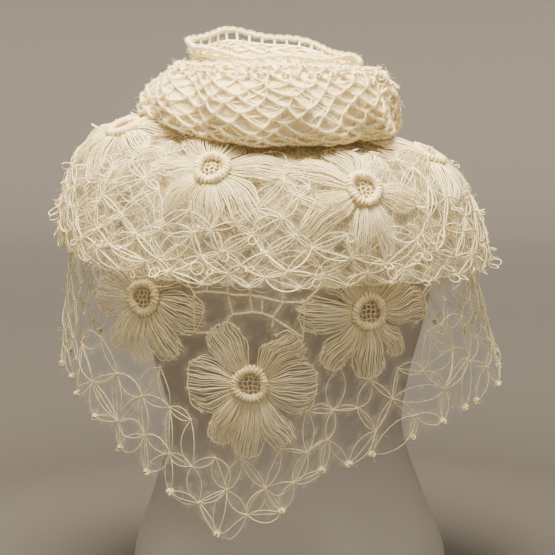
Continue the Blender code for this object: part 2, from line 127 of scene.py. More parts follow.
def add_node(tree, kind, settings=None, sockets=None, output=0):
    """A node with its settings made first, then the values or links of its sockets."""
    node = tree.nodes.new(kind)
    for name, setting in (settings or {}).items():
        setattr(node, name, setting)
    for name, given in (sockets or {}).items():
        plug(tree, given, node.inputs[name])
    return Value(tree, node.outputs[output])


class Finish:
    """A material whose look is worked out by nodes."""

    def __init__(self, name, **fixed):
        self.material = bpy.data.materials.new(name)
        self.material.use_nodes = True
        self.tree = self.material.node_tree
        self.shader = self.tree.nodes["Principled BSDF"]
        self.set(**fixed)

    def set(self, **sockets):
        for name, given in sockets.items():
            plug(self.tree, given, self.shader.inputs[name.replace("_", " ")])

    def node(self, kind, settings=None, sockets=None, output=0):
        return add_node(self.tree, kind, settings, sockets, output)

    def noise(self, scale, detail=2.0):
        """Even noise about 0.5, on the piece's own metres."""
        place = self.node("ShaderNodeTexCoord", output="Object")
        return self.node("ShaderNodeTexNoise", {}, {"Vector": place, "Scale": scale, "Detail": detail})

    def mix(self, share, first, second):
        """A colour between two, by a share from 0 to 1. The sockets' numbers are a colour mix's."""
        sockets = {0: share, 6: first, 7: second}
        return self.node("ShaderNodeMix", {"data_type": "RGBA"}, sockets, output=2)

    def bump(self, height, depth):
        """Relief of so many metres."""
        return self.node("ShaderNodeBump", {}, {"Height": height, "Distance": depth, "Strength": 1.0})


def mesh_piece(name, points, faces, finish):
    """A named piece from its points and faces, smooth."""
    mesh = bpy.data.meshes.new(name)
    mesh.from_pydata([tuple(point) for point in points], [], faces)
    mesh.materials.append(finish.material)
    mesh.shade_smooth()
    piece = bpy.data.objects.new(name, mesh)
    bpy.context.scene.collection.objects.link(piece)
    return piece


def dress(piece, slot, *nodes):
    """Fix a piece to the one body and hide the solids that it is seen in place of. Its slot is not used."""
    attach(piece, "root")
    if nodes:
        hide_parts(*nodes)


def ring_faces(rows, sides):
    """The quads of a surface that closes round its rows, facing out when the rows go up."""
    return [
        (row * sides + side, row * sides + (side + 1) % sides,
         (row + 1) * sides + (side + 1) % sides, (row + 1) * sides + side)
        for row in range(rows - 1)
        for side in range(sides)
    ]


shell = Finish("form_shell_matte", Roughness=0.8, Metallic=0.0, Specular_IOR_Level=0.2)
worn = shell.noise(scale=9).above(edge=0.42, softness=0.2)
shell.set(Base_Color=shell.mix(worn, FORM_GREY, FORM_GREY_WORN))
shell.set(Normal=shell.bump(shell.noise(scale=260), depth=0.00012))

form_at = np.linspace(0, len(FORM_SECTIONS) - 1, FORM_ROWS_A_SECTION * (len(FORM_SECTIONS) - 1) + 1)
form_rows = read_rows(FORM_SECTIONS, form_at)
form_turn = np.linspace(0, 2 * math.pi, FORM_SIDES, endpoint=False)
form_cos, form_sin = np.cos(form_turn), np.sin(form_turn)
form_round = abs(form_cos) ** FORM_SQUARENESS + abs(form_sin) ** FORM_SQUARENESS
form_round = form_round ** (-1 / FORM_SQUARENESS)
z, half_width, half_depth, shift_x, shift_y = (form_rows[:, [column]] for column in range(5))
form_points = np.stack([
    shift_x + half_width * form_cos * form_round,
    shift_y + half_depth * form_sin * form_round,
    np.maximum(z, 0) + 0 * form_cos,
], -1).reshape(-1, 3)
form_faces = ring_faces(len(form_rows), FORM_SIDES)
form_faces.append(tuple(reversed(range(FORM_SIDES))))
form_faces.append(tuple(range(len(form_points) - FORM_SIDES, len(form_points))))
torso = mesh_piece("dress_form_shell", form_points, form_faces, shell)
torso.data.set_sharp_from_angle(angle=math.radians(FORM_EDGE_DEGREES))
dress(torso, "form_shell", "dress_form")

# The mohair yarn is soft and brushed, and ivory. Where strands lie deep or close, a darker, warmer ivory is
# painted on them as shade.
# It is spun from one fine thread, and every strand, chain and cord of the shawl is drawn from
# its own path by one small node tree.
IVORY = (0.97, 0.855, 0.54, 1)
IVORY_SHADE = (0.93, 0.775, 0.43, 1)
# The two darker ivories are painted shade: the colour of yarn and haze that lie deep in the cloth.
IVORY_PAINTED_SHADE = (0.77, 0.60, 0.29, 1)
IVORY_PAINTED_SHADOW = (0.40, 0.31, 0.17, 1)


def point_values(mesh, title, numbers):
    """Keep a number for each point of a mesh, as an attribute that materials and trees read."""
    values = np.asarray(numbers, np.float32)
    mesh.attributes.new(title, "FLOAT", "POINT").data.foreach_set("value", values)


class Yarns:
    """Lengths of yarn, gathered before they are drawn as one piece."""

    def __init__(self):
        self.batches = []

    def add(self, paths, thick, warm=0.0, closed=False):
        """Keep lengths of yarn: points (lengths, steps, 3), half-thickness and how much painted shade of
        depth they take.
        """
        paths = np.asarray(paths, float)
        paths = paths[None] if paths.ndim == 2 else paths
        size = paths.shape[:2]
        thick, warm = np.broadcast_to(thick, size), np.broadcast_to(warm, size)
        self.batches.append((paths, thick, warm, closed))

    def points(self):
        """Every point of every length."""
        return np.concatenate([paths.reshape(-1, 3) for paths, _, _, _ in self.batches])

    def draw(self, name, finish, sides=4, swell=1.0):
        """One piece with a tube along each length."""
        edges, start = [], 0
        for paths, _, _, closed in self.batches:
            lengths, steps = paths.shape[:2]
            index = start + np.arange(lengths * steps).reshape(lengths, steps)
            after = np.roll(index, -1, axis=1) if closed else index[:, 1:]
            before = index if closed else index[:, :-1]
            edges.append(np.stack([before, after], -1).reshape(-1, 2))
            start += lengths * steps
        edges = np.concatenate(edges)
        mesh = bpy.data.meshes.new(name)
        mesh.vertices.add(start)
        mesh.vertices.foreach_set("co", self.points().astype(np.float32).ravel())
        mesh.edges.add(len(edges))
        mesh.edges.foreach_set("vertices", edges.astype(np.int32).ravel())
        for which, title in ((1, "thick"), (2, "warm")):
            numbers = np.concatenate([batch[which].ravel() for batch in self.batches])
            point_values(mesh, title, numbers)
        piece = bpy.data.objects.new(name, mesh)
        bpy.context.scene.collection.objects.link(piece)
        return settle(piece, spun_yarn, {"Sides": sides, "Swell": swell, "Finish": finish.material})


def settle(piece, tree, settings):
    """Run a node tree on a piece and keep the mesh that it makes."""
    modifier = piece.modifiers.new(tree.name, "NODES")
    modifier.node_group = tree
    for item in tree.interface.items_tree:
        if item.item_type == "SOCKET" and item.in_out == "INPUT" and item.name in settings:
            modifier[item.identifier] = settings[item.name]
    graph = bpy.context.evaluated_depsgraph_get()
    made = bpy.data.meshes.new_from_object(piece.evaluated_get(graph))
    piece.modifiers.remove(modifier)
    piece.data = made
    made.name = piece.name
    return piece


def node_tree(name, inputs):
    """A geometry tree with named inputs, each (name, kind, value), and its two ends."""
    tree = bpy.data.node_groups.new(name, "GeometryNodeTree")
    tree.interface.new_socket("Geometry", in_out="INPUT", socket_type="NodeSocketGeometry")
    for title, kind, value in inputs:
        socket = tree.interface.new_socket(title, in_out="INPUT", socket_type="NodeSocket" + kind)
        if value is not None:
            socket.default_value = value
    tree.interface.new_socket("Geometry", in_out="OUTPUT", socket_type="NodeSocketGeometry")
    ends = tree.nodes.new("NodeGroupInput")
    given = {socket.name: Value(tree, socket) for socket in ends.outputs if socket.name}
    return tree, given


def finish_tree(tree, geometry, given):
    """Realise what the tree made, give it its material and hand it out."""
    real = add_node(tree, "GeometryNodeRealizeInstances", {}, {"Geometry": geometry})
    smooth = add_node(tree, "GeometryNodeSetShadeSmooth", {}, {"Geometry": real})
    sockets = {"Geometry": smooth, "Material": given["Finish"]}
    dressed = add_node(tree, "GeometryNodeSetMaterial", {}, sockets)
    plug(tree, dressed, tree.nodes.new("NodeGroupOutput").inputs[0])


spun_yarn, given = node_tree("spun_yarn", (
    ("Sides", "Int", 4), ("Swell", "Float", 1.0), ("Finish", "Material", None)))
line = add_node(spun_yarn, "GeometryNodeMeshToCurve", {}, {"Mesh": given["Geometry"]})
thick = add_node(
    spun_yarn, "GeometryNodeInputNamedAttribute", {"data_type": "FLOAT"}, {"Name": "thick"})
line = add_node(spun_yarn, "GeometryNodeSetCurveRadius", {}, {
    "Curve": line, "Radius": thick * given["Swell"]})
round_yarn = add_node(spun_yarn, "GeometryNodeCurvePrimitiveCircle", {}, {
    "Resolution": given["Sides"], "Radius": 1.0})
tube = add_node(spun_yarn, "GeometryNodeCurveToMesh", {}, {
    "Curve": line, "Profile Curve": round_yarn, "Scale": thick * given["Swell"], "Fill Caps": True})
finish_tree(spun_yarn, tube, given)

mohair = Finish("mohair_yarn", Roughness=0.85, Metallic=0.0, Sheen_Weight=0.25, Sheen_Tint=IVORY)
# Painted shade: the yarn's attribute of depth turns it towards the darker ivory where it lies deep or close.
warm = mohair.node("ShaderNodeAttribute", {"attribute_name": "warm"}, output="Fac")
soft_spots = mohair.mix(mohair.noise(scale=120).above(0.35, 0.4), IVORY_SHADE, IVORY)
mohair.set(Base_Color=mohair.mix(warm, soft_spots, IVORY_PAINTED_SHADE))
mohair.set(Normal=mohair.bump(mohair.noise(scale=2600, detail=1.0), depth=0.00025))

# The lower length is the shawl's deep point, thrown over the form: loops of one fine mohair
# thread, knotted into open diamonds and chained between the three flowers that they hold, with
# a picot ball at each point of the hem. It hangs from the form's shoulders.
CLOTH_CENTRE_X = -0.012
Ring = namedtuple("Ring", "left right front back z_front z_left z_right z_back")
LOWER_YOKE_RINGS = (
    Ring(0.087, 0.087, 0.073, 0.073, 0.492, 0.515, 0.491, 0.510),
    Ring(0.128, 0.124, 0.104, 0.096, 0.473, 0.500, 0.473, 0.490),
    Ring(0.163, 0.155, 0.130, 0.118, 0.451, 0.482, 0.456, 0.467),
    Ring(0.187, 0.178, 0.145, 0.134, 0.422, 0.457, 0.430, 0.439),
)
Girth = namedtuple("Girth", "left right front back")
SKIRT_GIRTHS = (
    Girth(0.187, 0.178, 0.145, 0.134),
    Girth(0.200, 0.194, 0.151, 0.144),
    Girth(0.208, 0.207, 0.152, 0.149),
    Girth(0.212, 0.220, 0.150, 0.153),
    Girth(0.213, 0.232, 0.146, 0.155),
)
HemPoint = namedtuple("HemPoint", "degrees z")
LOWER_HEM = (
    HemPoint(-180, 0.290), HemPoint(-110, 0.274), HemPoint(-68, 0.248), HemPoint(-52, 0.216),
    HemPoint(-42, 0.188), HemPoint(-25, 0.152), HemPoint(-11.25, 0.113), HemPoint(0, 0.135),
    HemPoint(11.25, 0.176), HemPoint(33.75, 0.206), HemPoint(56, 0.226), HemPoint(90, 0.262),
    HemPoint(130, 0.282), HemPoint(180, 0.290),
)
Fold = namedtuple("Fold", "degrees spread depth")
LOWER_FOLDS = (
    Fold(-168, 12, 0.007), Fold(-128, 11, 0.008), Fold(-86, 10, 0.008), Fold(-58, 8, 0.009),
    Fold(-20, 8, 0.006), Fold(9, 8, 0.005), Fold(44, 8, 0.009), Fold(72, 8, 0.007),
    Fold(108, 12, 0.008), Fold(146, 11, 0.007),
)
SKIRT_TOP, HEM = 3.0, 6.0
FINE_THREAD = 0.00042
LINK_STEPS = 7
KNOT_SIZE, KNOT_THREAD, KNOT_LIFT = 0.0017, 0.00062, 0.0008


def girth_points(girth, height, theta, swell):
    """Points of oval girths at angles from the front, moved out by swell."""
    left, right, front, back = np.moveaxis(np.asarray(girth), -1, 0)
    half_width = (right + left) / 2 + (right - left) / 2 * np.sin(theta)
    half_depth = (front + back) / 2 + (front - back) / 2 * np.cos(theta)
    x = CLOTH_CENTRE_X + (half_width + swell) * np.sin(theta)
    return np.stack([x, -(half_depth + swell) * np.cos(theta), height + 0 * x], -1)


def side_blend(heights, theta):
    """Heights that pass smoothly through four sides."""
    front, left, right, back = np.moveaxis(np.asarray(heights), -1, 0)
    forward, sideways = np.cos(theta), np.sin(theta)
    ahead, aside = np.where(forward > 0, front, back), np.where(sideways > 0, right, left)
    return ahead * forward**2 + aside * sideways**2


def fold_swell(folds, theta):
    """How far the folds push the cloth out at angles from the front."""
    total = 0.0
    for fold in folds:
        away = (np.degrees(theta) - fold.degrees + 180) % 360 - 180
        total = total + fold.depth * np.exp(-((away / fold.spread) ** 2))
    return total


def ring_surface(rings, theta, down, swell):
    """Points of a cloth that is given by its rings."""
    rows = read_rows(rings, down)
    return girth_points(rows[..., :4], side_blend(rows[..., 4:], theta), theta, swell)


def lower_cloth(theta, down):
    """The lower length: a yoke from row 0 to 3, and then the skirt down to the hem at row 6."""
    theta, down = np.broadcast_arrays(np.asarray(theta, float), np.asarray(down, float))
    yoke = ring_surface(LOWER_YOKE_RINGS, theta, np.minimum(down, SKIRT_TOP), 0.0)
    hang = np.clip((down - SKIRT_TOP) / (HEM - SKIRT_TOP), 0, 1.12)
    girth = read_rows(SKIRT_GIRTHS, hang * 4)
    top = side_blend(LOWER_YOKE_RINGS[-1][4:], theta)
    degrees = (np.degrees(theta) + 180) % 360 - 180
    hem = np.interp(degrees, *zip(*LOWER_HEM))
    folds = fold_swell(LOWER_FOLDS, theta) * hang**1.5
    skirt = girth_points(girth, top + (hem - top) * hang, theta, folds)
    return np.where((down <= SKIRT_TOP)[..., None], yoke, skirt)


def frame_at(cloth, theta, down):
    """Across, up and outward unit vectors of a cloth at places."""
    step = 1e-4
    around = cloth(theta + step, down) - cloth(theta - step, down)
    fall = cloth(theta, down + step) - cloth(theta, down - step)
    outward = np.cross(fall, around)
    outward /= np.linalg.norm(outward, axis=-1, keepdims=True)
    across = np.cross((0.0, 0.0, 1.0), outward)
    across /= np.maximum(np.linalg.norm(across, axis=-1, keepdims=True), 1e-9)
    return across, np.cross(outward, across), outward


def lifted(cloth, theta, down, lift):
    """Points of a cloth, moved out by lift."""
    return cloth(theta, down) + frame_at(cloth, theta, down)[2] * np.asarray(lift, float)[..., None]


def knotted_net(yarns, cloth, starts, ends, strands, bow, thread, lift, rng, warm=0.0):
    """Links of loose strands between knots, given as chart places (theta, down), bowed apart."""
    starts, ends = np.asarray(starts, float), np.asarray(ends, float)
    count = len(starts)
    share = np.linspace(0, 1, LINK_STEPS)
    arch = np.sin(math.pi * share) ** 0.75
    place = starts[:, None] + (ends - starts)[:, None] * share[:, None]
    middle = lifted(cloth, place[..., 0], place[..., 1], lift)
    along = middle[:, -1] - middle[:, 0]
    length = np.linalg.norm(along, axis=-1)
    outward = frame_at(cloth, place[..., 0], place[..., 1])[2]
    beside = np.cross(outward, along[:, None])
    beside /= np.linalg.norm(beside, axis=-1, keepdims=True)
    wide = 0.55 + 0.45 * rng.random(count) + 0.7 * (rng.random(count) > 0.86)
    for strand in range(strands):
        side = 0.0 if strands == 1 else 2 * strand / (strands - 1) - 1
        reach = side * bow * wide * (0.8 + 0.4 * rng.random(count))
        reach = (reach + 0.04 * rng.normal(size=count)) * length
        rise = (0.03 + 0.05 * rng.normal(size=count)) * length
        tilt = 0.25 * rng.normal(size=count)[:, None] * (share - 0.5)
        path = middle + beside * (reach[:, None] * arch * (1 + tilt))[..., None]
        path = path + outward * (rise[:, None] * arch)[..., None]
        yarns.add(path, thread * (0.85 + 0.3 * rng.random((count, 1))), warm)


def knots(yarns, points, size, thread, rng, warm=0.0):
    """A small tangle of yarn at each knot."""
    turn = np.linspace(0, 2 * math.pi, 10)[:-1]
    phase = rng.random((len(points), 3)) * 2 * math.pi
    tangle = np.stack([
        np.sin(2 * turn + phase[:, [0]]),
        np.sin(3 * turn + phase[:, [1]]),
        np.cos(2 * turn + phase[:, [2]]),
    ], -1)
    sizes = size * (0.8 + 0.4 * rng.random((len(points), 1, 1)))
    yarns.add(np.asarray(points)[:, None] + tangle * sizes * 0.62, thread, warm, closed=True)


def picots(yarns, cloth, places, size, rng):
    """The crocheted ball that ends each hem point: a tight ring with a tail wound round it."""
    points = cloth(places[:, 0], places[:, 1])
    outwards = frame_at(cloth, places[:, 0], places[:, 1])[2]
    turn = np.linspace(0, 2 * math.pi, 11)[:-1]
    spin = rng.random((len(points), 1)) * 2 * math.pi
    for radius, cord, tip in ((0.62, 0.36, 0.0), (0.40, 0.30, 0.45)):
        side = np.cross(outwards, (0.0, 0.0, 1.0))
        up = np.cross(side, outwards)
        ring = side[:, None] * np.cos(turn + spin)[..., None]
        ring = ring + up[:, None] * np.sin(turn + spin)[..., None]
        wave = outwards[:, None] * (tip + 0.25 * np.sin(2 * turn + spin))[..., None]
        yarns.add(points[:, None] + (ring * radius + wave) * size, cord * size, 0.15, closed=True)


def net_grid(columns, steps, top, bottom, wander, rng, first=-math.pi, last=math.pi):
    """Chart places of a net's knots: (theta, down) for each half column and step."""
    half, step = np.meshgrid(np.arange(2 * columns), np.arange(steps + 1), indexing="ij")
    theta = first + (last - first) * half / (2 * columns)
    down = top + (bottom - top) * step / steps
    loose = (step < steps)[..., None] * wander
    return np.stack([theta, down], -1) + rng.normal(size=theta.shape + (2,)) * loose


def net_links(grid, clear, closed=True):
    """The diagonal links of a net between its knots, but for those that clear refuses."""
    halves, steps = grid.shape[0], grid.shape[1] - 1
    starts, ends, used = [], [], set()
    for half in range(halves):
        for step in range(steps):
            for side in (-1, 1):
                other = half + side
                if (half + step) % 2 or not (closed or 0 <= other < halves):
                    continue
                other %= halves
                start, end = grid[half, step].copy(), grid[other, step + 1].copy()
                end[0] += round((start[0] - end[0]) / (2 * math.pi)) * 2 * math.pi
                if clear((start + end) / 2):
                    starts.append(start)
                    ends.append(end)
                    used |= {(half, step), (other, step + 1)}
    return starts, ends, np.array([grid[key] for key in sorted(used)])


def clear_of(cloth, places, reach):
    """A test of whether a chart place is farther than reach from every flower."""
    centres = [cloth(math.radians(place.degrees), place.down) for place in places]

    def test(at):
        point = cloth(at[0], at[1])
        return all(np.linalg.norm(point - centre) > reach for centre in centres)

    return test


Place = namedtuple("Place", "name layer degrees down")
LOWER_FLOWERS = (
    Place("lower_left", "lower", -36.5, 4.06),
    Place("lower_right", "lower", 25.5, 4.20),
    Place("lower_point", "lower", -6, 4.56),
)
# The knots of the point in front, in degrees from the front and rows down, and their links.
POINT_KNOTS = {
    "a": (-18.6, 5.84), "b": (-11.8, 5.53), "c": (-6.7, 5.84), "d": (-2.2, 5.65), "e": (4.6, 5.79),
    "f": (7.9, 5.58), "g": (12.9, 5.59), "h": (14.6, 5.26), "i": (20.9, 5.34), "j": (30.6, 5.39),
    "k": (-20.6, 5.53), "m": (-27.1, 5.58), "n": (-27.4, 5.09), "o": (40.0, 5.16),
    "q": (-36.4, 5.17), "r": (-35.2, 5.59), "s": (-44.9, 5.71), "t": (-54.1, 5.54), "u": (-45.5, 5.15),
    "v": (25.6, 5.72), "w": (36.5, 5.72), "x": (46.0, 5.50), "y": (53.0, 5.05), "z": (49.0, 4.65),
    "H0": (-26.8, 6.0), "H1": (-14.1, 6.03), "H2": (1.9, 6.0), "H3": (11.4, 5.93), "H4": (18.2, 6.0),
    "H5": (24.3, 6.0), "H6": (35.1, 6.0), "H7": (43.5, 5.92), "H8": (54.4, 5.96), "L0": (-34.5, 6.0),
    "L1": (-44.0, 6.02), "L2": (-52.9, 5.98), "L3": (-63.0, 6.0),
    "P1": (-14.8, 5.29), "P2": (-8.3, 5.26), "P3": (1.7, 5.33), "P4": (8.1, 5.11), "P5": (-21.2, 5.07),
    "P6": (-30.9, 4.73), "P7": (16.9, 4.79), "P8": (24.9, 5.05), "P9": (33.0, 5.03), "P0": (43.3, 4.67),
    "S1": (-52.0, 4.9), "S2": (-60.5, 5.2), "S3": (60.5, 5.3), "S4": (60.5, 4.7),
}
POINT_LINKS = (
    "a b, b c, c d, c H1, c H2, e H2, e H3, d e, a H0, a k, a H1, k P1, k m, k P5, m n, m H0, n P5, n P6,"
    "b P1, b P2, d P2, d P3, e f, f P3, f g, f P4, g H3, g h, h P4, h P7, h i, i P8, j P9, j P8, o P9, o P0,"
    "i v, v H5, v H4, g H4, j v, j w, w H6, w H5, o x, j x, x H7, w H7, y P0, y o, y x, z P0, z y, x H8,"
    "q P6, q n, q r, r m, r L0, m L0, s q, s r, s L1, r L1, t s, t L2, s L2, u q, u s, u S1, t u, t L3,"
    "S2 t, S2 S1, S2 L3, y S3, x S3, S3 H8, S3 S4, z S4, d H2, b H1"
)
# The chained cords that hold the three flowers apart, with open gaps under the upper hem.
CHAIN_KNOTS = {
    "A": (-21.9, 3.81), "B": (-18.3, 3.75), "C": (-12.5, 3.71), "D": (-6.5, 3.73), "E": (-3.2, 3.76),
    "F": (-0.3, 3.80), "G": (2.4, 3.85), "H": (8.2, 3.92), "J": (-11.2, 3.89), "K": (-5.9, 3.89),
    "L": (-3.2, 3.91), "M": (-0.3, 3.97), "N": (-13.8, 4.08), "O": (-21.1, 4.19), "P": (3.6, 4.12),
    "Q": (7.5, 4.29), "R": (-12.3, 3.95), "S": (-0.5, 4.06), "T": (-18.5, 3.45), "U": (-12.9, 3.4),
    "V": (-5.8, 3.4), "W": (2.4, 3.4), "X": (-28.0, 3.6), "Y": (15.0, 3.75),
}
CHAIN_LINKS = (
    "A B, B C, C D, D E, E F, F G, G H, B T, C U, D V, C J, J K, K L, L M, D K, E L, G M, J R, R N, N O,"
    "A O, M P, P Q, H Q, M S, G W, X A, H Y"
)
# The net round the sides and back, behind the flowers and over the yoke, in diamonds round and
# down. The knots above take its place in front, as far as POINT_EDGE degrees on both sides.
SIDE_COLUMNS, SIDE_STEPS = 21, 10
FRONT_COLUMNS, FRONT_STEPS, FRONT_TOP, FRONT_END = 11, 6, 2.1, 4.8
YOKE_COLUMNS, YOKE_STEPS, YOKE_TOP = 30, 6, 0.6
POINT_EDGE = math.radians(60.5)
LACE_BOW, LACE_LIFT = 0.17, 0.0005
FRONT_LIFT, YOKE_BOW = 0.0003, 0.15
SIDE_WANDER, FRONT_WANDER = (0.016, 0.05), (0.02, 0.06)
LOWER_PICOT = 0.0046
CHAIN_STITCH, CHAIN_THREAD, CHAIN_LIFT = 0.0045, 0.00062, 0.0009
CHAIN_WIDE, CHAIN_DEEP = 0.00075, 0.0005
# How far the front net keeps from a lower flower's centre, and where it leaves the chained gaps
# open, in degrees from the front and rows down.
NET_CLEAR = 0.058
GAPS_FROM, GAPS_TO, GAPS_TOP = -27, 17, 3.5


def named_links(knot_places, words):
    """The two ends of each link that is written as a pair of knot names."""
    pairs = [pair.split() for pair in words.split(",")]
    places = {name: (math.radians(degrees), down) for name, (degrees, down) in knot_places.items()}
    return [places[first] for first, _ in pairs], [places[second] for _, second in pairs]


def chain_cord(yarns, cloth, starts, ends, lift):
    """A cord of chain stitches between each two places: two strands that wind round each other."""
    share = np.linspace(0, 1, 11)
    starts, ends = np.asarray(starts), np.asarray(ends)
    place = starts[:, None] + (ends - starts)[:, None] * share[:, None]
    outward = frame_at(cloth, place[..., 0], place[..., 1])[2]
    middle = cloth(place[..., 0], place[..., 1])
    turns = np.linalg.norm(middle[:, -1] - middle[:, 0], axis=-1)[:, None] / CHAIN_STITCH
    for strand in (0, 1):
        wind = math.pi * (strand + turns * share)
        along = middle[:, -1] - middle[:, 0]
        beside = np.cross(outward, along[:, None])
        beside /= np.linalg.norm(beside, axis=-1, keepdims=True)
        path = middle + beside * (CHAIN_WIDE * np.cos(wind))[..., None]
        path = path + outward * (lift + CHAIN_DEEP * np.sin(wind))[..., None]
        yarns.add(path, CHAIN_THREAD, warm=0.12)


rng = np.random.default_rng(7)
lower_net = Yarns()
starts, ends = named_links(POINT_KNOTS, POINT_LINKS)
starts, ends = np.array(starts), np.array(ends)
knotted_net(lower_net, lower_cloth, starts, ends, 2, LACE_BOW, FINE_THREAD, LACE_LIFT, rng)
thin_thread = FINE_THREAD * 0.9
knotted_net(lower_net, lower_cloth, starts[::2], ends[::2], 1, 0.0, thin_thread, LACE_LIFT, rng)
knot_places, hem_places = (
    np.array([(math.radians(degrees), down) for name, (degrees, down) in POINT_KNOTS.items()
              if (name[0] in "HL") == on_hem])
    for on_hem in (False, True))

side_grid = net_grid(SIDE_COLUMNS, SIDE_STEPS, SKIRT_TOP, HEM, SIDE_WANDER, rng,
                     POINT_EDGE, 2 * math.pi - POINT_EDGE)
side_starts, side_ends, side_knots = net_links(side_grid, lambda at: True, closed=False)
knotted_net(lower_net, lower_cloth, side_starts, side_ends, 2, LACE_BOW, FINE_THREAD, LACE_LIFT, rng)
front_grid = net_grid(FRONT_COLUMNS, FRONT_STEPS, FRONT_TOP, FRONT_END, FRONT_WANDER, rng,
                      -POINT_EDGE, POINT_EDGE)
off_lower_flowers = clear_of(lower_cloth, LOWER_FLOWERS, NET_CLEAR)


def behind_hem(at):
    """True where a link of the front lies clear of the flowers and of the chained gaps."""
    degrees = math.degrees(at[0])
    return off_lower_flowers(at) and not (GAPS_FROM < degrees < GAPS_TO and at[1] > GAPS_TOP)


front_starts, front_ends, front_knots = net_links(front_grid, behind_hem, closed=False)
knotted_net(
    lower_net, lower_cloth, front_starts, front_ends, 2, LACE_BOW, FINE_THREAD, FRONT_LIFT, rng)
yoke_grid = net_grid(YOKE_COLUMNS, YOKE_STEPS, YOKE_TOP, SKIRT_TOP, SIDE_WANDER, rng)
yoke_starts, yoke_ends, yoke_knots = net_links(yoke_grid, lambda at: True)
knotted_net(lower_net, lower_cloth, yoke_starts, yoke_ends, 2, YOKE_BOW, FINE_THREAD, 0.0, rng)
chain_cord(lower_net, lower_cloth, *named_links(CHAIN_KNOTS, CHAIN_LINKS), CHAIN_LIFT)

knot_places = np.concatenate([knot_places, side_knots, front_knots, yoke_knots])
knot_points = lifted(lower_cloth, knot_places[:, 0], knot_places[:, 1], KNOT_LIFT)
knots(lower_net, knot_points, KNOT_SIZE, KNOT_THREAD, rng)
hem_places = np.concatenate([hem_places, side_grid[::2, -1]])
picots(lower_net, lower_cloth, hem_places, LOWER_PICOT, rng)
lower_piece = lower_net.draw("lower_length_threads", mohair, sides=3)
dress(lower_piece, "mohair", "lower_lace_front", "lower_lace_back")


def distances(points, threads):
    """How far each point lies from the nearest point of the threads."""
    tree = KDTree(len(threads))
    for index, point in enumerate(threads):
        tree.insert(point, index)
    tree.balance()
    return np.array([tree.find(point)[2] for point in points])


def haze_sheet(name, cloth, around, rows, span, lift, threads, reach, finish, thick_to=-math.inf):
    """The cloth between the threads: its halo of loose fibres, as one thin sheet that is left
    open where no thread is within reach, and thick as far down as the given row."""
    theta, down = np.meshgrid(
        np.linspace(-math.pi, math.pi, around, endpoint=False), np.linspace(*span, rows + 1))
    points = lifted(cloth, theta, down, lift).reshape(-1, 3)
    least = 0.9 * (down.ravel() < thick_to)
    haze = np.clip(1 - distances(points, threads) / reach, least, 1)
    faces = [face for face in ring_faces(rows + 1, around) if haze[list(face)].max() > 0]
    used = np.unique(np.array(faces))
    place_of = np.full(len(points), -1)
    place_of[used] = np.arange(len(used))
    faces = [tuple(int(place_of[corner]) for corner in face[::-1]) for face in faces]
    piece = mesh_piece(name, points[used], faces, finish)
    point_values(piece.data, "haze", haze[used])
    return piece


def surface_area(piece):
    """The area of a piece's faces."""
    return sum(face.area for face in piece.data.polygons)


def fibre_haze(name, least, most, colour, deep):
    """A material of tangled fibres: as thick as the haze attribute, in fine wandering lines."""
    finish = Finish(name, Roughness=0.9, Metallic=0.0, Sheen_Weight=0.2, Sheen_Tint=IVORY)
    haze = finish.node("ShaderNodeAttribute", {"attribute_name": "haze"}, output="Fac")
    lines = 0.0
    for scale in (150, 230, 410):
        from_line = finish.noise(scale, detail=1.0) - 0.5
        from_line = from_line.maths("ABSOLUTE", from_line, 0.0)
        lines = lines + (0.045 - from_line).above(0.0, 0.03) * 0.5
    finish.set(Alpha=(haze * (lines * (most - least) + least)).above(0.0, 1.0))
    finish.set(Base_Color=finish.mix(finish.noise(60).above(0.35, 0.3), deep, colour))
    finish.set(Normal=finish.bump(finish.noise(900), 0.0003))
    return finish


# The upper length is the two tails drawn over the shoulders: the same knotted loops of mohair
# in three layers, closer and more tangled, with slack loops that stand off them and a picot at
# each hem point. It lies on the lower length.
UPPER_RINGS = (
    Ring(0.086, 0.086, 0.072, 0.072, 0.495, 0.518, 0.494, 0.513),
    Ring(0.128, 0.126, 0.106, 0.100, 0.482, 0.509, 0.483, 0.501),
    Ring(0.171, 0.163, 0.138, 0.126, 0.464, 0.497, 0.469, 0.482),
    Ring(0.199, 0.190, 0.160, 0.146, 0.435, 0.472, 0.445, 0.454),
    Ring(0.213, 0.206, 0.168, 0.156, 0.405, 0.437, 0.413, 0.420),
    Ring(0.218, 0.214, 0.171, 0.162, 0.380, 0.408, 0.386, 0.390),
    Ring(0.217, 0.219, 0.173, 0.165, 0.360, 0.386, 0.364, 0.362),
)
UPPER_FOLDS = (
    Fold(-158, 13, 0.010), Fold(-112, 12, 0.009), Fold(-52, 10, 0.008), Fold(-26, 8, 0.006),
    Fold(2, 9, 0.008), Fold(38, 9, 0.009), Fold(62, 8, 0.005), Fold(101, 12, 0.008),
    Fold(149, 12, 0.010),
)
UPPER_FLOWERS = (
    Place("upper_front_left", "upper", -19, 2.18),
    Place("upper_front_right", "upper", 26, 2.72),
    Place("upper_right", "upper", 72, 1.90),
    Place("upper_back_right", "upper", 131, 2.35),
    Place("upper_back", "upper", 184, 2.45),
    Place("upper_back_left", "upper", -128, 2.35),
    Place("upper_left", "upper", -68, 1.70),
)
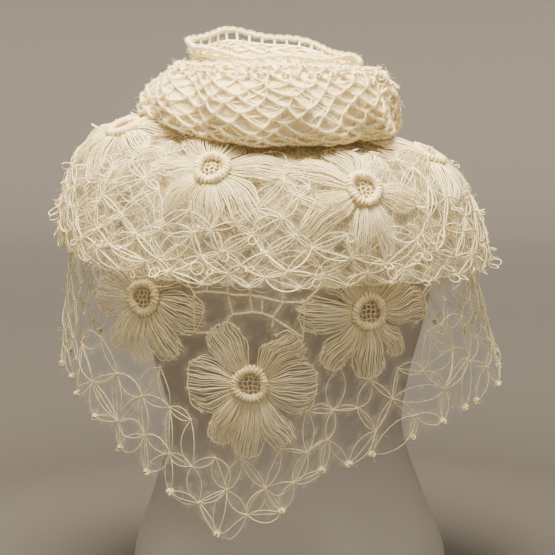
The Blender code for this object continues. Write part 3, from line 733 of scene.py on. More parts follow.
# Each layer of the net: how far it lies out, its thread, its knots round and down from a top row,
# how far they stray, its strands and their bow, its painted shade, deeper for the layers beneath, and how
# far it keeps off the flowers.
NetLayer = namedtuple("NetLayer", "lift thread columns steps top wander strands bow warm clear")
TOP_THREAD, UNDER_THREAD = FINE_THREAD * 1.35, FINE_THREAD * 0.95
UPPER_LAYERS = (
    NetLayer(0.0026, TOP_THREAD, 31, 8, 1.9, (0.036, 0.20), 3, 0.16, 0.00, 0.048),
    NetLayer(0.0004, UNDER_THREAD, 34, 9, 1.5, (0.034, 0.18), 2, 0.20, 0.15, 0.0),
    NetLayer(-0.0034, UNDER_THREAD, 31, 9, 0.1, (0.034, 0.18), 2, 0.22, 0.50, 0.0),
)
UPPER_FOLDS_START = 2.5
UPPER_KNOT_THREAD, UPPER_PICOT = 0.00066, 0.0036
LOOSE_LOOPS, LOOP_SIZE, LOOP_THREAD, LOOPS_CLEAR = 170, 0.0052, FINE_THREAD * 1.3, 0.05


def upper_cloth(theta, down):
    """The tails over the shoulders, from the neck at row 0 to the hem at row 6."""
    theta, down = np.broadcast_arrays(np.asarray(theta, float), np.asarray(down, float))
    ease = np.clip((down - UPPER_FOLDS_START) / (HEM - UPPER_FOLDS_START), 0, None) ** 1.4
    return ring_surface(UPPER_RINGS, theta, down, fold_swell(UPPER_FOLDS, theta) * ease)


def loose_loops(yarns, cloth, places, size, thread, rng):
    """A slack round of yarn at each place, that stands off the cloth and hangs."""
    count = (len(places), 1, 1)
    turn = np.linspace(0, 2 * math.pi, 13)[:-1, None]
    across, up, outward = (axis[:, None] for axis in frame_at(cloth, places[:, 0], places[:, 1]))
    lean, swing = rng.uniform(0.1, 1.4, count), rng.normal(0, 0.7, count)
    hang = across * np.sin(swing) - up * np.cos(swing)
    beside = across * np.cos(swing) + up * np.sin(swing)
    radius = size * rng.uniform(0.65, 1.35, count)
    reach = (outward * np.cos(lean) + hang * np.sin(lean)) * (1 - np.cos(turn))
    base = lifted(cloth, places[:, 0], places[:, 1], 0.002)[:, None]
    path = base + radius * (reach + beside * np.sin(turn) * rng.uniform(0.6, 1.0, count))
    yarns.add(path + rng.normal(size=path.shape) * 0.0002, thread, closed=True)


upper_net = Yarns()
loop_places, off_flowers = [], clear_of(upper_cloth, UPPER_FLOWERS, LOOPS_CLEAR)
for layer in UPPER_LAYERS:
    grid = net_grid(layer.columns, layer.steps, layer.top, HEM, layer.wander, rng)
    clear = clear_of(upper_cloth, UPPER_FLOWERS, layer.clear)
    starts, ends, knot_places = net_links(grid, clear)
    knotted_net(upper_net, upper_cloth, starts, ends, layer.strands, layer.bow, layer.thread,
                layer.lift, rng, layer.warm)
    knot_points = lifted(upper_cloth, knot_places[:, 0], knot_places[:, 1], layer.lift)
    knots(upper_net, knot_points, KNOT_SIZE, UPPER_KNOT_THREAD, rng, layer.warm)
    loop_places += [place for place in knot_places if off_flowers(place)]
    if layer is UPPER_LAYERS[0]:
        hem_places = grid[layer.steps % 2::2, layer.steps]
        picots(upper_net, upper_cloth, hem_places, UPPER_PICOT, rng)
loop_rng = np.random.default_rng(41)
loop_places = loop_rng.permutation(loop_places)[:LOOSE_LOOPS]
loose_loops(upper_net, upper_cloth, loop_places, LOOP_SIZE, LOOP_THREAD, loop_rng)
upper_piece = upper_net.draw("upper_length_threads", mohair, sides=3)
dress(upper_piece, "mohair", "upper_lace_front", "upper_lace_back")

# The loom flowers are loops of mohair yarn wound on a round loom and bound into petals by a
# crocheted ring round an open heart, which a small net fills. Each is crocheted into its length.
FLOWER_RADIUS, FLOWER_LIFT = 0.062, 0.0024
RING_RADIUS, RING_CORD, RING_LIFT = 0.0138, 0.0038, 0.0062
RING_STITCHES, STITCH_STEPS, RING_YARN, RING_CORE = 28, 6, 0.00135, 0.0031
HEART_REACH, HEART_GAP, HEART_DEPTH, HEART_YARN = 0.0112, 0.0044, 0.0034, 0.00062
PETAL_START, PETAL_FOOT, PETAL_YARN, PETAL_TAPER = 0.0125, 0.0042, 0.00041, 0.00006
BINDING_YARN, BINDING_KNOT, BINDING_KNOT_YARN = 0.0006, 0.0019, 0.0007
# By length: how far a petal's end is drawn in, and how much painted shade its yarn and its ring take; the
# lower length's rings lie in the upper length's shade.
PETAL_GATHER = {"lower": 0.16, "upper": 0.45}
PETAL_DEPTH_SHADE = {"lower": 0.4, "upper": 0.35}
RING_DEPTH_SHADE = {"lower": 0.45, "upper": 0.15}
Petal = namedtuple("Petal", "degrees half reach")
PETALS = {
    "lower_point": (
        (-5, 25, 0.98), (47, 15, 1.0), (120, 17, 1.0), (183, 27, 0.95), (-121, 13, 1.06),
        (-92, 13, 1.15), (-62, 13, 1.08)),
    "lower_left": (
        (-15, 19, 0.98), (48, 14, 1.0), (95, 22, 0.95), (140, 14, 0.95), (182, 20, 0.95),
        (-125, 14, 0.98), (-95, 14, 1.0), (-64, 14, 1.02)),
    "lower_right": (
        (2, 16, 1.0), (40, 12, 0.95), (86, 20, 0.95), (134, 14, 0.92), (183, 15, 1.06),
        (230, 13, 1.05), (270, 16, 1.02), (308, 11, 0.85)),
    "upper_front_left": (
        (72, 22, 0.92), (120, 18, 0.95), (177, 16, 0.95), (222, 15, 0.92), (266, 18, 0.95),
        (311, 18, 1.12), (7, 15, 1.15)),
    "upper_front_right": (
        (153, 12, 1.12), (207, 15, 1.12), (101, 24, 0.9), (58, 14, 0.85), (-14, 16, 0.95),
        (262, 13, 0.98), (288, 12, 1.0)),
}
# The flowers that the photo hardly shows have seven even petals, turned by so many degrees.
EVEN_PETALS = 7
EVEN_TURNS = {
    "upper_right": 0, "upper_back_right": 8, "upper_back": 0, "upper_back_left": 16, "upper_left": 6}
STRANDS_A_PETAL, STRAND_STEPS = 25, 7


def place_on(cloth, centre, x, y):
    """Chart places that lie x across and y up from a centre, on the cloth."""
    step = 1e-4
    theta = np.full(np.shape(x), centre[0], float)
    down = np.full(np.shape(x), centre[1], float)
    origin = cloth(*centre)
    across, up, _ = frame_at(cloth, *centre)
    for _ in range(6):
        here = cloth(theta, down) - origin
        by_theta = (cloth(theta + step, down) - cloth(theta - step, down)) / (2 * step)
        by_down = (cloth(theta, down + step) - cloth(theta, down - step)) / (2 * step)
        miss_x, miss_y = x - here @ across, y - here @ up
        a, b, c, d = by_theta @ across, by_down @ across, by_theta @ up, by_down @ up
        scale = a * d - b * c
        theta = theta + np.clip((miss_x * d - miss_y * b) / scale, -0.2, 0.2)
        down = down + np.clip((miss_y * a - miss_x * c) / scale, -0.8, 0.8)
    return theta, down


def petal_edge(side):
    """How far a petal reaches at places from its one side, -1, to the other, 1."""
    return 1 - 0.06 * side**2 - 0.13 * side**6


def spot_on(cloth, centre, angle, out, aside):
    """Chart places that lie out from a centre along an angle, and aside from that line."""
    x = out * math.cos(angle) - aside * math.sin(angle)
    y = out * math.sin(angle) + aside * math.cos(angle)
    return place_on(cloth, centre, x, y)


def petal_strands(yarns, cloth, centre, petal, layer, lift, rng):
    """The fanned loops of one petal, in two beds, and the fine thread that binds their ends."""
    angle, half = math.radians(petal.degrees), math.radians(petal.half)
    reach, gather = petal.reach * FLOWER_RADIUS, PETAL_GATHER[layer]
    along = np.linspace(0, 1, STRAND_STEPS)
    sway, phase = 0.0030 * rng.normal(), rng.random()
    draw_in = 1 - gather * np.clip((along - 0.55) / 0.45, 0, 1) ** 2
    for bed, count in ((0, STRANDS_A_PETAL), (1, STRANDS_A_PETAL // 2)):
        side = np.linspace(-1, 1, count)[:, None]
        side = side + 0.035 * np.sin(side * 13 + phase * 6) + rng.normal(size=(count, 1)) * 0.02
        end = reach * (petal_edge(side) + 0.028 * rng.normal(size=(count, 1)))
        out = PETAL_START + (end - PETAL_START) * along
        spread = np.sin(0.5 * math.pi * along) ** 0.85
        fan = (PETAL_FOOT + (reach * math.tan(half) - PETAL_FOOT) * spread) * draw_in
        wave = sway * np.sin(2 * math.pi * (0.8 * along + phase))
        wave = wave + 0.0018 * np.sin(2 * math.pi * (1.6 * along + phase))
        wave = wave + 0.0011 * np.sin(2 * math.pi * (along * 1.2 + rng.random((count, 1))))
        theta, down = spot_on(cloth, centre, angle, out, side * fan + wave * along)
        puff = (0.0056 - 0.0030 * bed) * np.sin(math.pi * along**0.8) * (1 - 0.6 * side**2)
        rise = lift + puff + 0.0005 * rng.normal(size=(count, 1)) - 0.0008 * bed
        path = lifted(cloth, theta, down, rise)
        # Painted shade: the yarn is darker and warmer near the ring and in the under bed, with some random
        # tone.
        petal_shade = 0.5 * (1 - along) ** 2.2 + 0.16 * bed + 0.10 * rng.random((count, 1))
        yarns.add(path, PETAL_YARN - PETAL_TAPER * along, petal_shade * PETAL_DEPTH_SHADE[layer])
    side = np.linspace(-1, 1, 13)
    out = reach * (petal_edge(side) + 0.012 * np.cos(side * 9))
    aside = side * reach * math.tan(half) * (1 - gather)
    theta, down = spot_on(cloth, centre, angle, out, aside)
    yarns.add(lifted(cloth, theta, down, lift), BINDING_YARN, warm=0.05)
    corners = lifted(cloth, theta[[0, -1]], down[[0, -1]], lift)
    knots(yarns, corners, BINDING_KNOT, BINDING_KNOT_YARN, rng)


def crochet_ring(yarns, cloth, centre, warm, lift, rng):
    """The binding ring: stitches of yarn wound over a cord, with a small net in its heart."""
    turn = np.linspace(0, 2 * math.pi, RING_STITCHES * STITCH_STEPS, endpoint=False)
    wind = turn * RING_STITCHES
    cord = RING_CORD * (0.76 + 0.10 * np.sin(turn * 5 + rng.random() * 6))
    rough = 0.00040 * rng.normal(size=(2, len(turn)))
    radius = RING_RADIUS + 0.0007 * np.sin(3 * turn + rng.random() * 6) + cord * np.cos(wind) + rough[0]
    rise = lift + cord * np.sin(wind) + rough[1]
    theta, down = place_on(cloth, centre, radius * np.cos(turn), radius * np.sin(turn))
    # Painted shade: the inner side of each stitch, the cord beneath the stitches and the sunk heart net take
    # the darker ivory.
    inside = 0.3 * (np.cos(wind) < -0.2)
    yarns.add(lifted(cloth, theta, down, rise), RING_YARN, warm + inside, closed=True)
    turn = np.linspace(0, 2 * math.pi, 24, endpoint=False)
    theta, down = place_on(cloth, centre, RING_RADIUS * np.cos(turn), RING_RADIUS * np.sin(turn))
    yarns.add(lifted(cloth, theta, down, lift), RING_CORE, warm=0.4, closed=True)
    across = np.linspace(-HEART_REACH, HEART_REACH, 7)
    for spoke in range(8):
        offset = ((spoke % 4) - 1.5) * HEART_GAP + 0.0009 * np.sin(across * 600 + spoke)
        x, y = (across, offset) if spoke < 4 else (offset, across)
        theta, down = place_on(cloth, centre, x, y)
        sunk = lift - HEART_DEPTH + 0.0008 * np.cos(across * 700)
        yarns.add(lifted(cloth, theta, down, sunk), HEART_YARN, warm=0.85)


blooms, bloom_points = {"lower": [], "upper": []}, {"lower": [], "upper": []}
ring_sleeves = Yarns()
for place in LOWER_FLOWERS + UPPER_FLOWERS:
    cloth = lower_cloth if place.layer == "lower" else upper_cloth
    centre = (math.radians(place.degrees), place.down)
    petals = [Petal(*row) for row in PETALS.get(place.name, ())] or [
        Petal(180 - EVEN_TURNS[place.name] - 360 * index / EVEN_PETALS + rng.normal() * 4,
              18 + rng.normal() * 2, 0.97)
        for index in range(EVEN_PETALS)
    ]
    bloom, ring = Yarns(), Yarns()
    for petal in petals:
        petal_strands(bloom, cloth, centre, petal, place.layer, FLOWER_LIFT, rng)
    crochet_ring(ring, cloth, centre, RING_DEPTH_SHADE[place.layer], RING_LIFT, rng)
    bloom_points[place.layer].append(bloom.points()[::3])
    ring_sleeves.batches.append(ring.batches[0])
    bloom_piece = bloom.draw("loom_flower_" + place.name, mohair, sides=3)
    dress(bloom_piece, "mohair", "flower_" + place.name)
    ring_piece = ring.draw("crochet_ring_" + place.name, mohair, sides=5)
    dress(ring_piece, "mohair_crochet", "flower_ring_" + place.name)
    blooms[place.layer] += [bloom_piece, ring_piece]

# The two lengths read as cloth through the loose fibres that mohair sheds between its threads
# and petals: one thin sheet for each length, open where no yarn is near, and a lighter veil that
# lies over the upper threads.
light_haze = fibre_haze("mohair_haze_light", least=0.10, most=0.55, colour=IVORY, deep=IVORY_SHADE)
petal_haze = fibre_haze("mohair_haze_petals", least=0.22, most=0.62, colour=IVORY, deep=IVORY_SHADE)
# Painted shade: the dense haze is coloured in the darker ivories, as the shade deep in the upper length.
dense_shaded_haze = fibre_haze("mohair_haze_dense_shaded", least=0.26, most=0.90, colour=IVORY_PAINTED_SHADE, deep=IVORY_PAINTED_SHADOW)
upper_points = upper_net.points()[::3]
lower_threads = np.concatenate([lower_net.points()[::2]] + bloom_points["lower"])
upper_threads = np.concatenate([upper_points] + bloom_points["upper"])
lower_sheet = haze_sheet(
    "lower_length_haze", lower_cloth, around=288, rows=84, span=(YOKE_TOP, HEM), lift=0.0,
    threads=lower_threads, reach=0.0055, finish=petal_haze)
# Painted shade: this dark sheet lies under the upper threads, and it is nearly solid from the neck down to
# row 1.25, under the neck wrap.
upper_sheet = haze_sheet(
    "upper_length_haze", upper_cloth, around=288, rows=60, span=(0.0, HEM), lift=-0.001,
    threads=upper_threads, reach=0.008, finish=dense_shaded_haze, thick_to=1.25)
upper_veil = haze_sheet(
    "upper_length_veil", upper_cloth, around=256, rows=44, span=(1.5, HEM), lift=0.0036,
    threads=upper_points, reach=0.006, finish=light_haze)
for piece in (lower_sheet, upper_sheet, upper_veil):
    dress(piece, "mohair")

# The neck wrap is the shawl's plain long side, wound round the neck: two layers of fuzzy mohair
# net in slanting diamonds over one thin felted cloth, with small puffs along its upper fold. It
# lies on the upper length.
OUTER_WRAP_RINGS = (
    Ring(0.096, 0.092, 0.084, 0.082, 0.505, 0.527, 0.507, 0.526),
    Ring(0.119, 0.112, 0.108, 0.100, 0.493, 0.520, 0.499, 0.517),
    Ring(0.132, 0.124, 0.124, 0.112, 0.489, 0.517, 0.498, 0.515),
    Ring(0.130, 0.123, 0.131, 0.118, 0.499, 0.528, 0.508, 0.524),
    Ring(0.125, 0.121, 0.131, 0.119, 0.517, 0.539, 0.524, 0.539),
    Ring(0.113, 0.115, 0.123, 0.113, 0.537, 0.550, 0.542, 0.554),
    Ring(0.101, 0.106, 0.108, 0.102, 0.553, 0.559, 0.554, 0.565),
    Ring(0.095, 0.099, 0.094, 0.094, 0.561, 0.563, 0.556, 0.571),
    Ring(0.0793, 0.0813, 0.0773, 0.0783, 0.557, 0.557, 0.551, 0.566),
)
WRAP_GATHERS, WRAP_GATHER_DEPTH, WRAP_SLANT = 10, 0.0045, -0.09
# The wrap's layers of net: how far out, diamonds round and rows along, how far they slant, the
# yarn's half-thickness and painted shade, deeper for the inner layer, and how far the knots stray.
# The wrap's rows run up, so a lift below 0 is outwards.
WrapLayer = namedtuple("WrapLayer", "lift around rows slant yarn warm wander")
WRAP_LAYERS = (
    WrapLayer(-0.0012, 31, 16, 0.14, 0.00125, 0.00, (0.020, 0.08)),
    WrapLayer(0.0000, 27, 14, 0.34, 0.00095, 0.25, (0.040, 0.14)),
)
WRAP_NET_FOOT, WRAP_CLOTH_FOOT, WRAP_LIP = 1.2, 0.4, 8.0
# Puffs of yarn: along two rows of the upper fold, and loose ones at its right corner.
PUFFS_A_ROW, PUFF_THREAD, PUFF_LIFT = 58, 0.00115, -0.0022
PUFF_ROWS = ((5.75, 0.0040), (6.35, 0.0034))
CORNER_PUFFS = ((1.17, 5.2), (1.32, 4.6), (1.45, 5.5), (1.60, 4.9), (1.75, 5.6))
CORNER_PUFF_SIZE, CORNER_PUFF_THREAD, CORNER_PUFF_LIFT = 0.0062, 0.00125, -0.0040
PUFF_SLANT = 0.05


def outer_wrap(turn, along):
    """The net wound round the neck, from its inner foot, out and over, to its inner lip."""
    turn, along = np.broadcast_arrays(np.asarray(turn, float), np.asarray(along, float))
    gather = WRAP_GATHER_DEPTH * np.cos(WRAP_GATHERS * turn) * np.sin(math.pi * along / 8)
    return ring_surface(OUTER_WRAP_RINGS, turn + WRAP_SLANT * along, along, gather)


def diamond_net(yarns, cloth, layer, first, last, rng):
    """A plain net: single strands of thick yarn, knotted where they cross."""
    half, row = np.meshgrid(np.arange(2 * layer.around), np.arange(layer.rows + 1), indexing="ij")
    along = first + (last - first) * row / layer.rows
    theta = math.pi * half / layer.around + layer.slant * row / layer.rows * 2
    grid = np.stack([theta, along], -1) + rng.normal(size=theta.shape + (2,)) * layer.wander
    starts, ends, _ = net_links(grid, lambda at: True)
    share = np.linspace(0, 1, 5)
    starts, ends = np.array(starts), np.array(ends)
    place = starts[:, None] + (ends - starts)[:, None] * share[:, None]
    sag = 0.0009 * rng.normal(size=(len(starts), 1)) * np.sin(math.pi * share)
    path = lifted(cloth, place[..., 0], place[..., 1], layer.lift + sag)
    path[..., 2] -= 0.0011 * np.sin(math.pi * share)
    thick = layer.yarn * (0.8 + 0.4 * rng.random((len(starts), 1)))
    yarns.add(path, thick * (1 + 0.25 * np.cos(2 * math.pi * share)), layer.warm)


# How far from a yarn its glow on the cloth starts to fade, and over what distance.
GLOW_START, GLOW_REACH = 0.0008, 0.0034


def cloth_shell(name, cloth, around, rows, span, lift, threads, finish):
    """The wound cloth itself, as one thin sheet round the neck, painted brighter near its yarns as light on
    them.
    """
    theta, along = np.meshgrid(
        np.linspace(-math.pi, math.pi, around, endpoint=False), np.linspace(*span, rows + 1))
    ripple = 0.0006 * np.sin(34 * theta + 9 * along) * np.sin(13 * along - 5 * theta)
    points = lifted(cloth, theta, along, lift + ripple).reshape(-1, 3)
    piece = mesh_piece(name, points, ring_faces(rows + 1, around), finish)
    near = np.clip(1 - (distances(points, threads) - GLOW_START) / GLOW_REACH, 0, 1)
    point_values(piece.data, "near", near)
    return piece


wound = Finish("mohair_wound", Roughness=0.9, Metallic=0.0, Sheen_Weight=0.3, Sheen_Tint=IVORY)
tuft = wound.noise(scale=230, detail=4.0)
glow = wound.node("ShaderNodeAttribute", {"attribute_name": "near"}, output="Fac")
# Painted light and shade: the cloth is painted brighter near its yarns, as light on them, and in the darker
# ivory in the cells between, as shade.
lit = (glow * 0.9 + tuft * 0.4).above(edge=0.20, softness=1.0)
wound.set(Base_Color=wound.mix(lit, IVORY_PAINTED_SHADE, IVORY_SHADE))
wound.set(Normal=wound.bump(tuft, depth=0.0022))

outer_net = Yarns()
for layer in WRAP_LAYERS:
    diamond_net(outer_net, outer_wrap, layer, WRAP_NET_FOOT, WRAP_LIP, rng)
puff_turn = np.linspace(-math.pi, math.pi, PUFFS_A_ROW, endpoint=False)
for row, size in PUFF_ROWS:
    spots = lifted(outer_wrap, puff_turn + PUFF_SLANT * row, row, PUFF_LIFT)
    knots(outer_net, spots, size, PUFF_THREAD, rng, warm=0.12)
for turn, row in CORNER_PUFFS:
    spots = lifted(outer_wrap, np.array([turn + PUFF_SLANT * row]), row, CORNER_PUFF_LIFT)
    knots(outer_net, spots, CORNER_PUFF_SIZE, CORNER_PUFF_THREAD, rng, warm=0.05)
outer_piece = outer_net.draw("neck_wrap_net", mohair, sides=4)
dress(outer_piece, "mohair", "neck_wrap_outer")
outer_sheet = cloth_shell(
    "neck_wrap_cloth", outer_wrap, around=280, rows=72, span=(WRAP_CLOTH_FOOT, WRAP_LIP), lift=0.0008,
    threads=outer_net.points(), finish=wound)
dress(outer_sheet, "mohair")

# The collar is the inner turn of the same mohair net, which stands up behind the neck in waves.
# A crocheted ladder edges it: two rails of thick yarn with posts between them. It rises from
# inside the neck wrap, which holds it.
INNER_WRAP_RINGS = (
    Ring(0.069, 0.068, 0.064, 0.066, 0.524, 0.534, 0.522, 0.536),
    Ring(0.075, 0.073, 0.067, 0.071, 0.542, 0.558, 0.542, 0.560),
    Ring(0.082, 0.080, 0.071, 0.080, 0.554, 0.570, 0.557, 0.580),
    Ring(0.086, 0.085, 0.075, 0.088, 0.562, 0.577, 0.564, 0.592),
    Ring(0.087, 0.086, 0.077, 0.091, 0.567, 0.582, 0.569, 0.601),
)
COLLAR_WAVES, COLLAR_WAVE_DEPTH = 7, 0.0030
# The collar stands highest behind on the left and dips at its two ends, in degrees and metres.
Tilt = namedtuple("Tilt", "degrees spread rise")
COLLAR_TILTS = (Tilt(-130, 34, 0.008), Tilt(163, 42, -0.009), Tilt(92, 26, -0.003))
COLLAR_LAYERS = (
    WrapLayer(-0.0009, 24, 10, 0.05, 0.00095, 0.1, (0.02, 0.06)),
    WrapLayer(0.0013, 24, 10, -0.05, 0.00095, 0.2, (0.02, 0.06)),
)
# Rows up the collar: its foot inside the wrap, where its net starts, the ladder's two rails.
COLLAR_FOOT, COLLAR_NET_FOOT, LADDER_ROW, RAIL_ROW = -0.8, 0.6, 2.9, 4.0
LADDER_POSTS, POST_YARN = 40, 0.0015
RAIL_STEPS, RAIL_STITCHES, RAIL_SCALLOP = 240, 27, 0.0016
RAIL_YARN, LADDER_YARN, LADDER_LIFT = 0.0017, 0.0016, -0.0006


def inner_wrap(theta, along):
    """The inner turn of the net, which stands as a waved collar behind the neck."""
    theta, along = np.broadcast_arrays(np.asarray(theta, float), np.asarray(along, float))
    freedom = np.clip(along / RAIL_ROW, 0, None) ** 1.5
    wave = COLLAR_WAVE_DEPTH * freedom
    points = ring_surface(INNER_WRAP_RINGS, theta, along, wave * np.cos(COLLAR_WAVES * theta))
    points[..., 2] += 0.6 * wave * np.sin(COLLAR_WAVES * theta + 0.8)
    for tilt in COLLAR_TILTS:
        away = (np.degrees(theta) - tilt.degrees + 180) % 360 - 180
        points[..., 2] += tilt.rise * np.exp(-(away / tilt.spread) ** 2) * freedom
    return points


inner_net = Yarns()
for layer in COLLAR_LAYERS:
    diamond_net(inner_net, inner_wrap, layer, COLLAR_NET_FOOT, LADDER_ROW, rng)
rim = np.linspace(0, 2 * math.pi, RAIL_STEPS, endpoint=False)
top_rail = inner_wrap(rim, RAIL_ROW)
top_rail[:, 2] += RAIL_SCALLOP * np.abs(np.sin(rim * RAIL_STITCHES))
inner_net.add(top_rail, RAIL_YARN, closed=True)
inner_net.add(lifted(inner_wrap, rim, LADDER_ROW, LADDER_LIFT), LADDER_YARN, closed=True)
post = np.linspace(0, 2 * math.pi, LADDER_POSTS, endpoint=False)[:, None]
inner_net.add(inner_wrap(post, np.linspace(LADDER_ROW, RAIL_ROW + 0.02, 4)), POST_YARN, warm=0.03)
inner_piece = inner_net.draw("collar_net", mohair, sides=4)
dress(inner_piece, "mohair", "neck_wrap_inner")
inner_sheet = cloth_shell(
    "collar_cloth", inner_wrap, around=160, rows=28, span=(COLLAR_FOOT, LADDER_ROW - 0.02), lift=0.0,
    threads=inner_net.points(), finish=wound)
dress(inner_sheet, "mohair")


def fuzz(name, yarns, sides, swell):
    """The brushed fibres that lie thick round a yarn: a wider tube, mostly clear."""
    piece = yarns.draw(name, light_haze, sides=sides, swell=swell)
    point_values(piece.data, "haze", np.ones(len(piece.data.vertices)))
    return piece


# The wrap's outer net and the collar's top rail have it, and so do the flowers' rings.
wrap_sleeves = Yarns()
top_rail_batch = len(COLLAR_LAYERS)
wrap_sleeves.batches = outer_net.batches[:1] + inner_net.batches[top_rail_batch:top_rail_batch + 1]
wrap_fuzz = fuzz("neck_wrap_fuzz", wrap_sleeves, sides=5, swell=2.1)
dress(wrap_fuzz, "mohair")
ring_fuzz = fuzz("crochet_ring_fuzz", ring_sleeves, sides=4, swell=1.7)
dress(ring_fuzz, "mohair_crochet")

# Mohair is brushed up: loose fibres stand off every yarn as a soft halo. Short curved hairs are
# scattered over the yarns in each part of the shawl, and made real as one piece for each part.
loose_fibres, given = node_tree("loose_fibres", (
    ("Density", "Float", 1000.0), ("Length", "Float", 0.006), ("Thin", "Float", 0.00007),
    ("Seed", "Int", 1), ("Finish", "Material", None)))


def fibre_node(kind, settings=None, sockets=None, output=0):
    """A node of the fibre tree."""
    return add_node(loose_fibres, kind, settings, sockets, output)


def random_between(value, socket, least, most):
    """Give a random value its two limits: the socket of the least depends on the value's kind."""
    value.socket.node.inputs[socket].default_value = least
    value.socket.node.inputs[socket + 1].default_value = most


# Four bent hairs to pick from, each by its middle and end, for a length of 1.
HAIR_BENDS = (
    ((0.1, 0.0, 0.6), (0.5, 0.1, 0.8)), ((-0.1, 0.2, 0.3), (0.4, 0.4, 0.5)),
    ((0.2, -0.1, 0.4), (0.8, 0.2, 0.3)), ((0.0, 0.1, 0.7), (-0.3, 0.3, 0.9)),
)
spread = loose_fibres.nodes.new("GeometryNodeDistributePointsOnFaces")
for name, value in (("Mesh", given["Geometry"]), ("Density", given["Density"]), ("Seed", given["Seed"])):
    plug(loose_fibres, value, spread.inputs[name])
kinds = loose_fibres.nodes.new("GeometryNodeGeometryToInstance")
hair_section = fibre_node("GeometryNodeCurvePrimitiveCircle", {}, {"Resolution": 3, "Radius": given["Thin"]})
for middle, end in HAIR_BENDS:
    sockets = {"Resolution": 2, "Start": (0, 0, 0), "Middle": middle, "End": end}
    hair = fibre_node("GeometryNodeCurveQuadraticBezier", {}, sockets)
    scale = fibre_node("ShaderNodeCombineXYZ", {}, {axis: given["Length"] for axis in "XYZ"})
    sized = fibre_node("GeometryNodeTransform", {}, {"Geometry": hair, "Scale": scale})
    tube = fibre_node("GeometryNodeCurveToMesh", {}, {"Curve": sized, "Profile Curve": hair_section})
    loose_fibres.links.new(tube.socket, kinds.inputs[0])
which = fibre_node("FunctionNodeRandomValue", {"data_type": "INT"}, output=2)
random_between(which, 4, 0, len(HAIR_BENDS) - 1)
spin = fibre_node("FunctionNodeRandomValue", {"data_type": "FLOAT_VECTOR"})
random_between(spin, 0, (-0.9, -0.9, 0.0), (0.9, 0.9, 2 * math.pi))
turned = fibre_node("FunctionNodeRotateRotation", {"rotation_space": "LOCAL"}, {
    "Rotation": Value(loose_fibres, spread.outputs["Rotation"]),
    "Rotate By": fibre_node("FunctionNodeEulerToRotation", {}, {"Euler": spin})})
size = fibre_node("FunctionNodeRandomValue", {"data_type": "FLOAT"}, output=1)
random_between(size, 2, 0.5, 1.3)
fibres = fibre_node("GeometryNodeInstanceOnPoints", {}, {
    "Points": Value(loose_fibres, spread.outputs["Points"]),
    "Instance": Value(loose_fibres, kinds.outputs[0]),
    "Pick Instance": True, "Instance Index": which, "Rotation": turned, "Scale": size})
finish_tree(loose_fibres, fibres, given)


def brushed(name, piece, hairs, length, seed, thin):
    """The halo of loose fibres round a piece of yarn."""
    halo = bpy.data.objects.new(name, piece.data.copy())
    bpy.context.scene.collection.objects.link(halo)
    density = hairs / surface_area(piece)
    settle(halo, loose_fibres, {
        "Density": density, "Length": length, "Thin": thin, "Seed": seed, "Finish": mohair.material})
    dress(halo, "mohair")
    return halo


halos = [
    brushed("lower_length_halo", lower_piece, 2200, 0.006, 3, 0.00009),
    brushed("upper_length_halo", upper_piece, 4400, 0.0065, 4, 0.00010),
    brushed("neck_wrap_halo", outer_piece, 4200, 0.0065, 5, 0.00010),
    brushed("collar_halo", inner_piece, 1000, 0.006, 6, 0.00010),
]

# The shawl is one knotted cloth of mohair. Its four lengths are listed with the flat cut of what shows,
# all round its tube and from its top to its hem, and the least of each sheet's area and its flat cut is
# worked out.
for piece, flat, held, rests, parts in (
    (lower_sheet, (1.18, 0.30), "hung", "dress_form", [lower_piece] + blooms["lower"] + halos[:1]),
    (upper_sheet, (1.16, 0.17), "draped", "lower_length_haze",
     [upper_piece, upper_veil, ring_fuzz] + blooms["upper"] + halos[1:2]),
    (outer_sheet, (0.74, 0.115), "gathered", "upper_length_haze", [outer_piece, wrap_fuzz] + halos[2:3]),
    (inner_sheet, (0.50, 0.07), "gathered", "neck_wrap_cloth", [inner_piece] + halos[3:]),
):
    cut = min(surface_area(piece), flat[0] * flat[1])

# The floor and the wall are one sweep all round: a pale wall, and a floor painted dark as shade,
# with a lighter patch painted under the form against its shadow. The light is soft and from above,
# with a weak fill from the photograph's side. They aren't part of the object.
SWEEP_FLOOR, SWEEP_FLAT, SWEEP_RADIUS, SWEEP_BEND, SWEEP_HEIGHT = -0.0005, 1.2, 4.4, 1.0, 1.25
SWEEP_SIDES, BEND_STEPS = 96, 20
PAINTED_LIGHT_UNDER_FORM, PAINTED_SHADE_FLOOR = (0.10, 0.087, 0.074, 1), (0.073, 0.063, 0.054, 1)
PALE_WALL = (0.66, 0.595, 0.52, 1)
stage_finish = Finish("sweep_painted_shade", Roughness=0.95)
place = stage_finish.node("ShaderNodeTexCoord", output="Object")
far = stage_finish.node("ShaderNodeVectorMath", {"operation": "LENGTH"}, {0: place}, output="Value")
# Painted light and shade: lighter just under the form, dark round it, and paler out towards the wall.
foot = stage_finish.mix(far.above(edge=0.22, softness=0.35), PAINTED_LIGHT_UNDER_FORM, PAINTED_SHADE_FLOOR)
stage_finish.set(Base_Color=stage_finish.mix(far.above(edge=0.6, softness=3.8), foot, PALE_WALL))
bend = np.linspace(0, math.pi / 2, BEND_STEPS)
bend_out = SWEEP_RADIUS - SWEEP_BEND + SWEEP_BEND * np.sin(bend)
sweep_out = np.concatenate([[0.0, SWEEP_FLAT], bend_out, [SWEEP_RADIUS]])
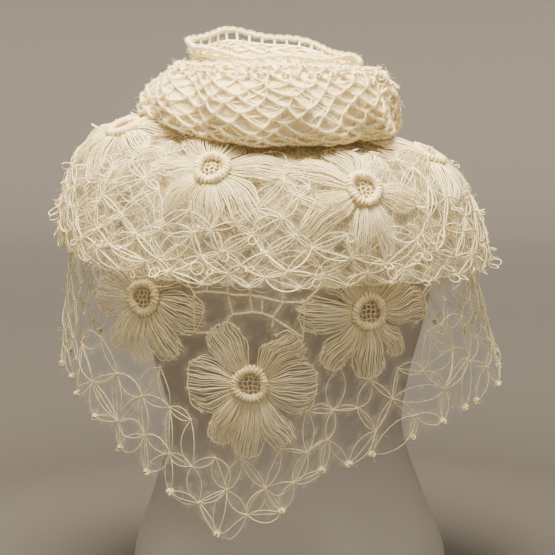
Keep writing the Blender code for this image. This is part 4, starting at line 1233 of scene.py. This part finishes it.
bend_up = SWEEP_BEND - SWEEP_BEND * np.cos(bend)
sweep_up = np.concatenate([[0.0, 0.0], bend_up, [SWEEP_HEIGHT]]) + SWEEP_FLOOR
turn = np.linspace(0, 2 * math.pi, SWEEP_SIDES, endpoint=False)
sweep = np.array([(out * math.sin(angle), out * math.cos(angle), up)
                  for out, up in zip(np.maximum(sweep_out, 0.001), sweep_up) for angle in turn])
floor = mesh_piece("studio_sweep", sweep, ring_faces(len(sweep_up), len(turn)), stage_finish)


def soft_light(name, place, aim, size, power, colour):
    """A square area light that looks at a point."""
    lamp = bpy.data.lights.new(name, "AREA")
    lamp.shape, lamp.size, lamp.energy, lamp.color = "SQUARE", size, power, colour
    holder = bpy.data.objects.new(name, lamp)
    holder.location = place
    holder.rotation_euler = (Vector(aim) - Vector(place)).to_track_quat("-Z", "Y").to_euler()
    bpy.context.scene.collection.objects.link(holder)


soft_light("overhead", place=(-0.10, -0.22, 1.45), aim=(0, 0, 0.45), size=0.6, power=82,
           colour=(1.0, 0.92, 0.74))
soft_light("front_fill", place=(0.4, -2.4, 0.9), aim=(0, 0, 0.3), size=1.4, power=14,
           colour=(0.92, 0.95, 0.97))
world = bpy.data.worlds.new("studio_air")
world.use_nodes = True
air = world.node_tree.nodes["Background"]
air.inputs["Color"].default_value = (1.0, 0.93, 0.84, 1)
air.inputs["Strength"].default_value = 0.60
bpy.context.scene.world = world

# The photograph's view: level with the neck wrap, and aimed a little down at the flowers.
VIEW_DEGREES = 24.13
VIEW_PLACE, VIEW_AIM = (-0.0088, -1.33686, 0.53288), Vector((-0.0088, 0, 0.345))
lens = bpy.data.cameras.new("photograph_view")
lens.sensor_fit = "HORIZONTAL"
lens.angle = math.radians(VIEW_DEGREES)
camera = bpy.data.objects.new("photograph_view", lens)
camera.location = VIEW_PLACE
camera.rotation_euler = (VIEW_AIM - camera.location).to_track_quat("-Z", "Y").to_euler()
bpy.context.scene.collection.objects.link(camera)
bpy.context.scene.camera = camera
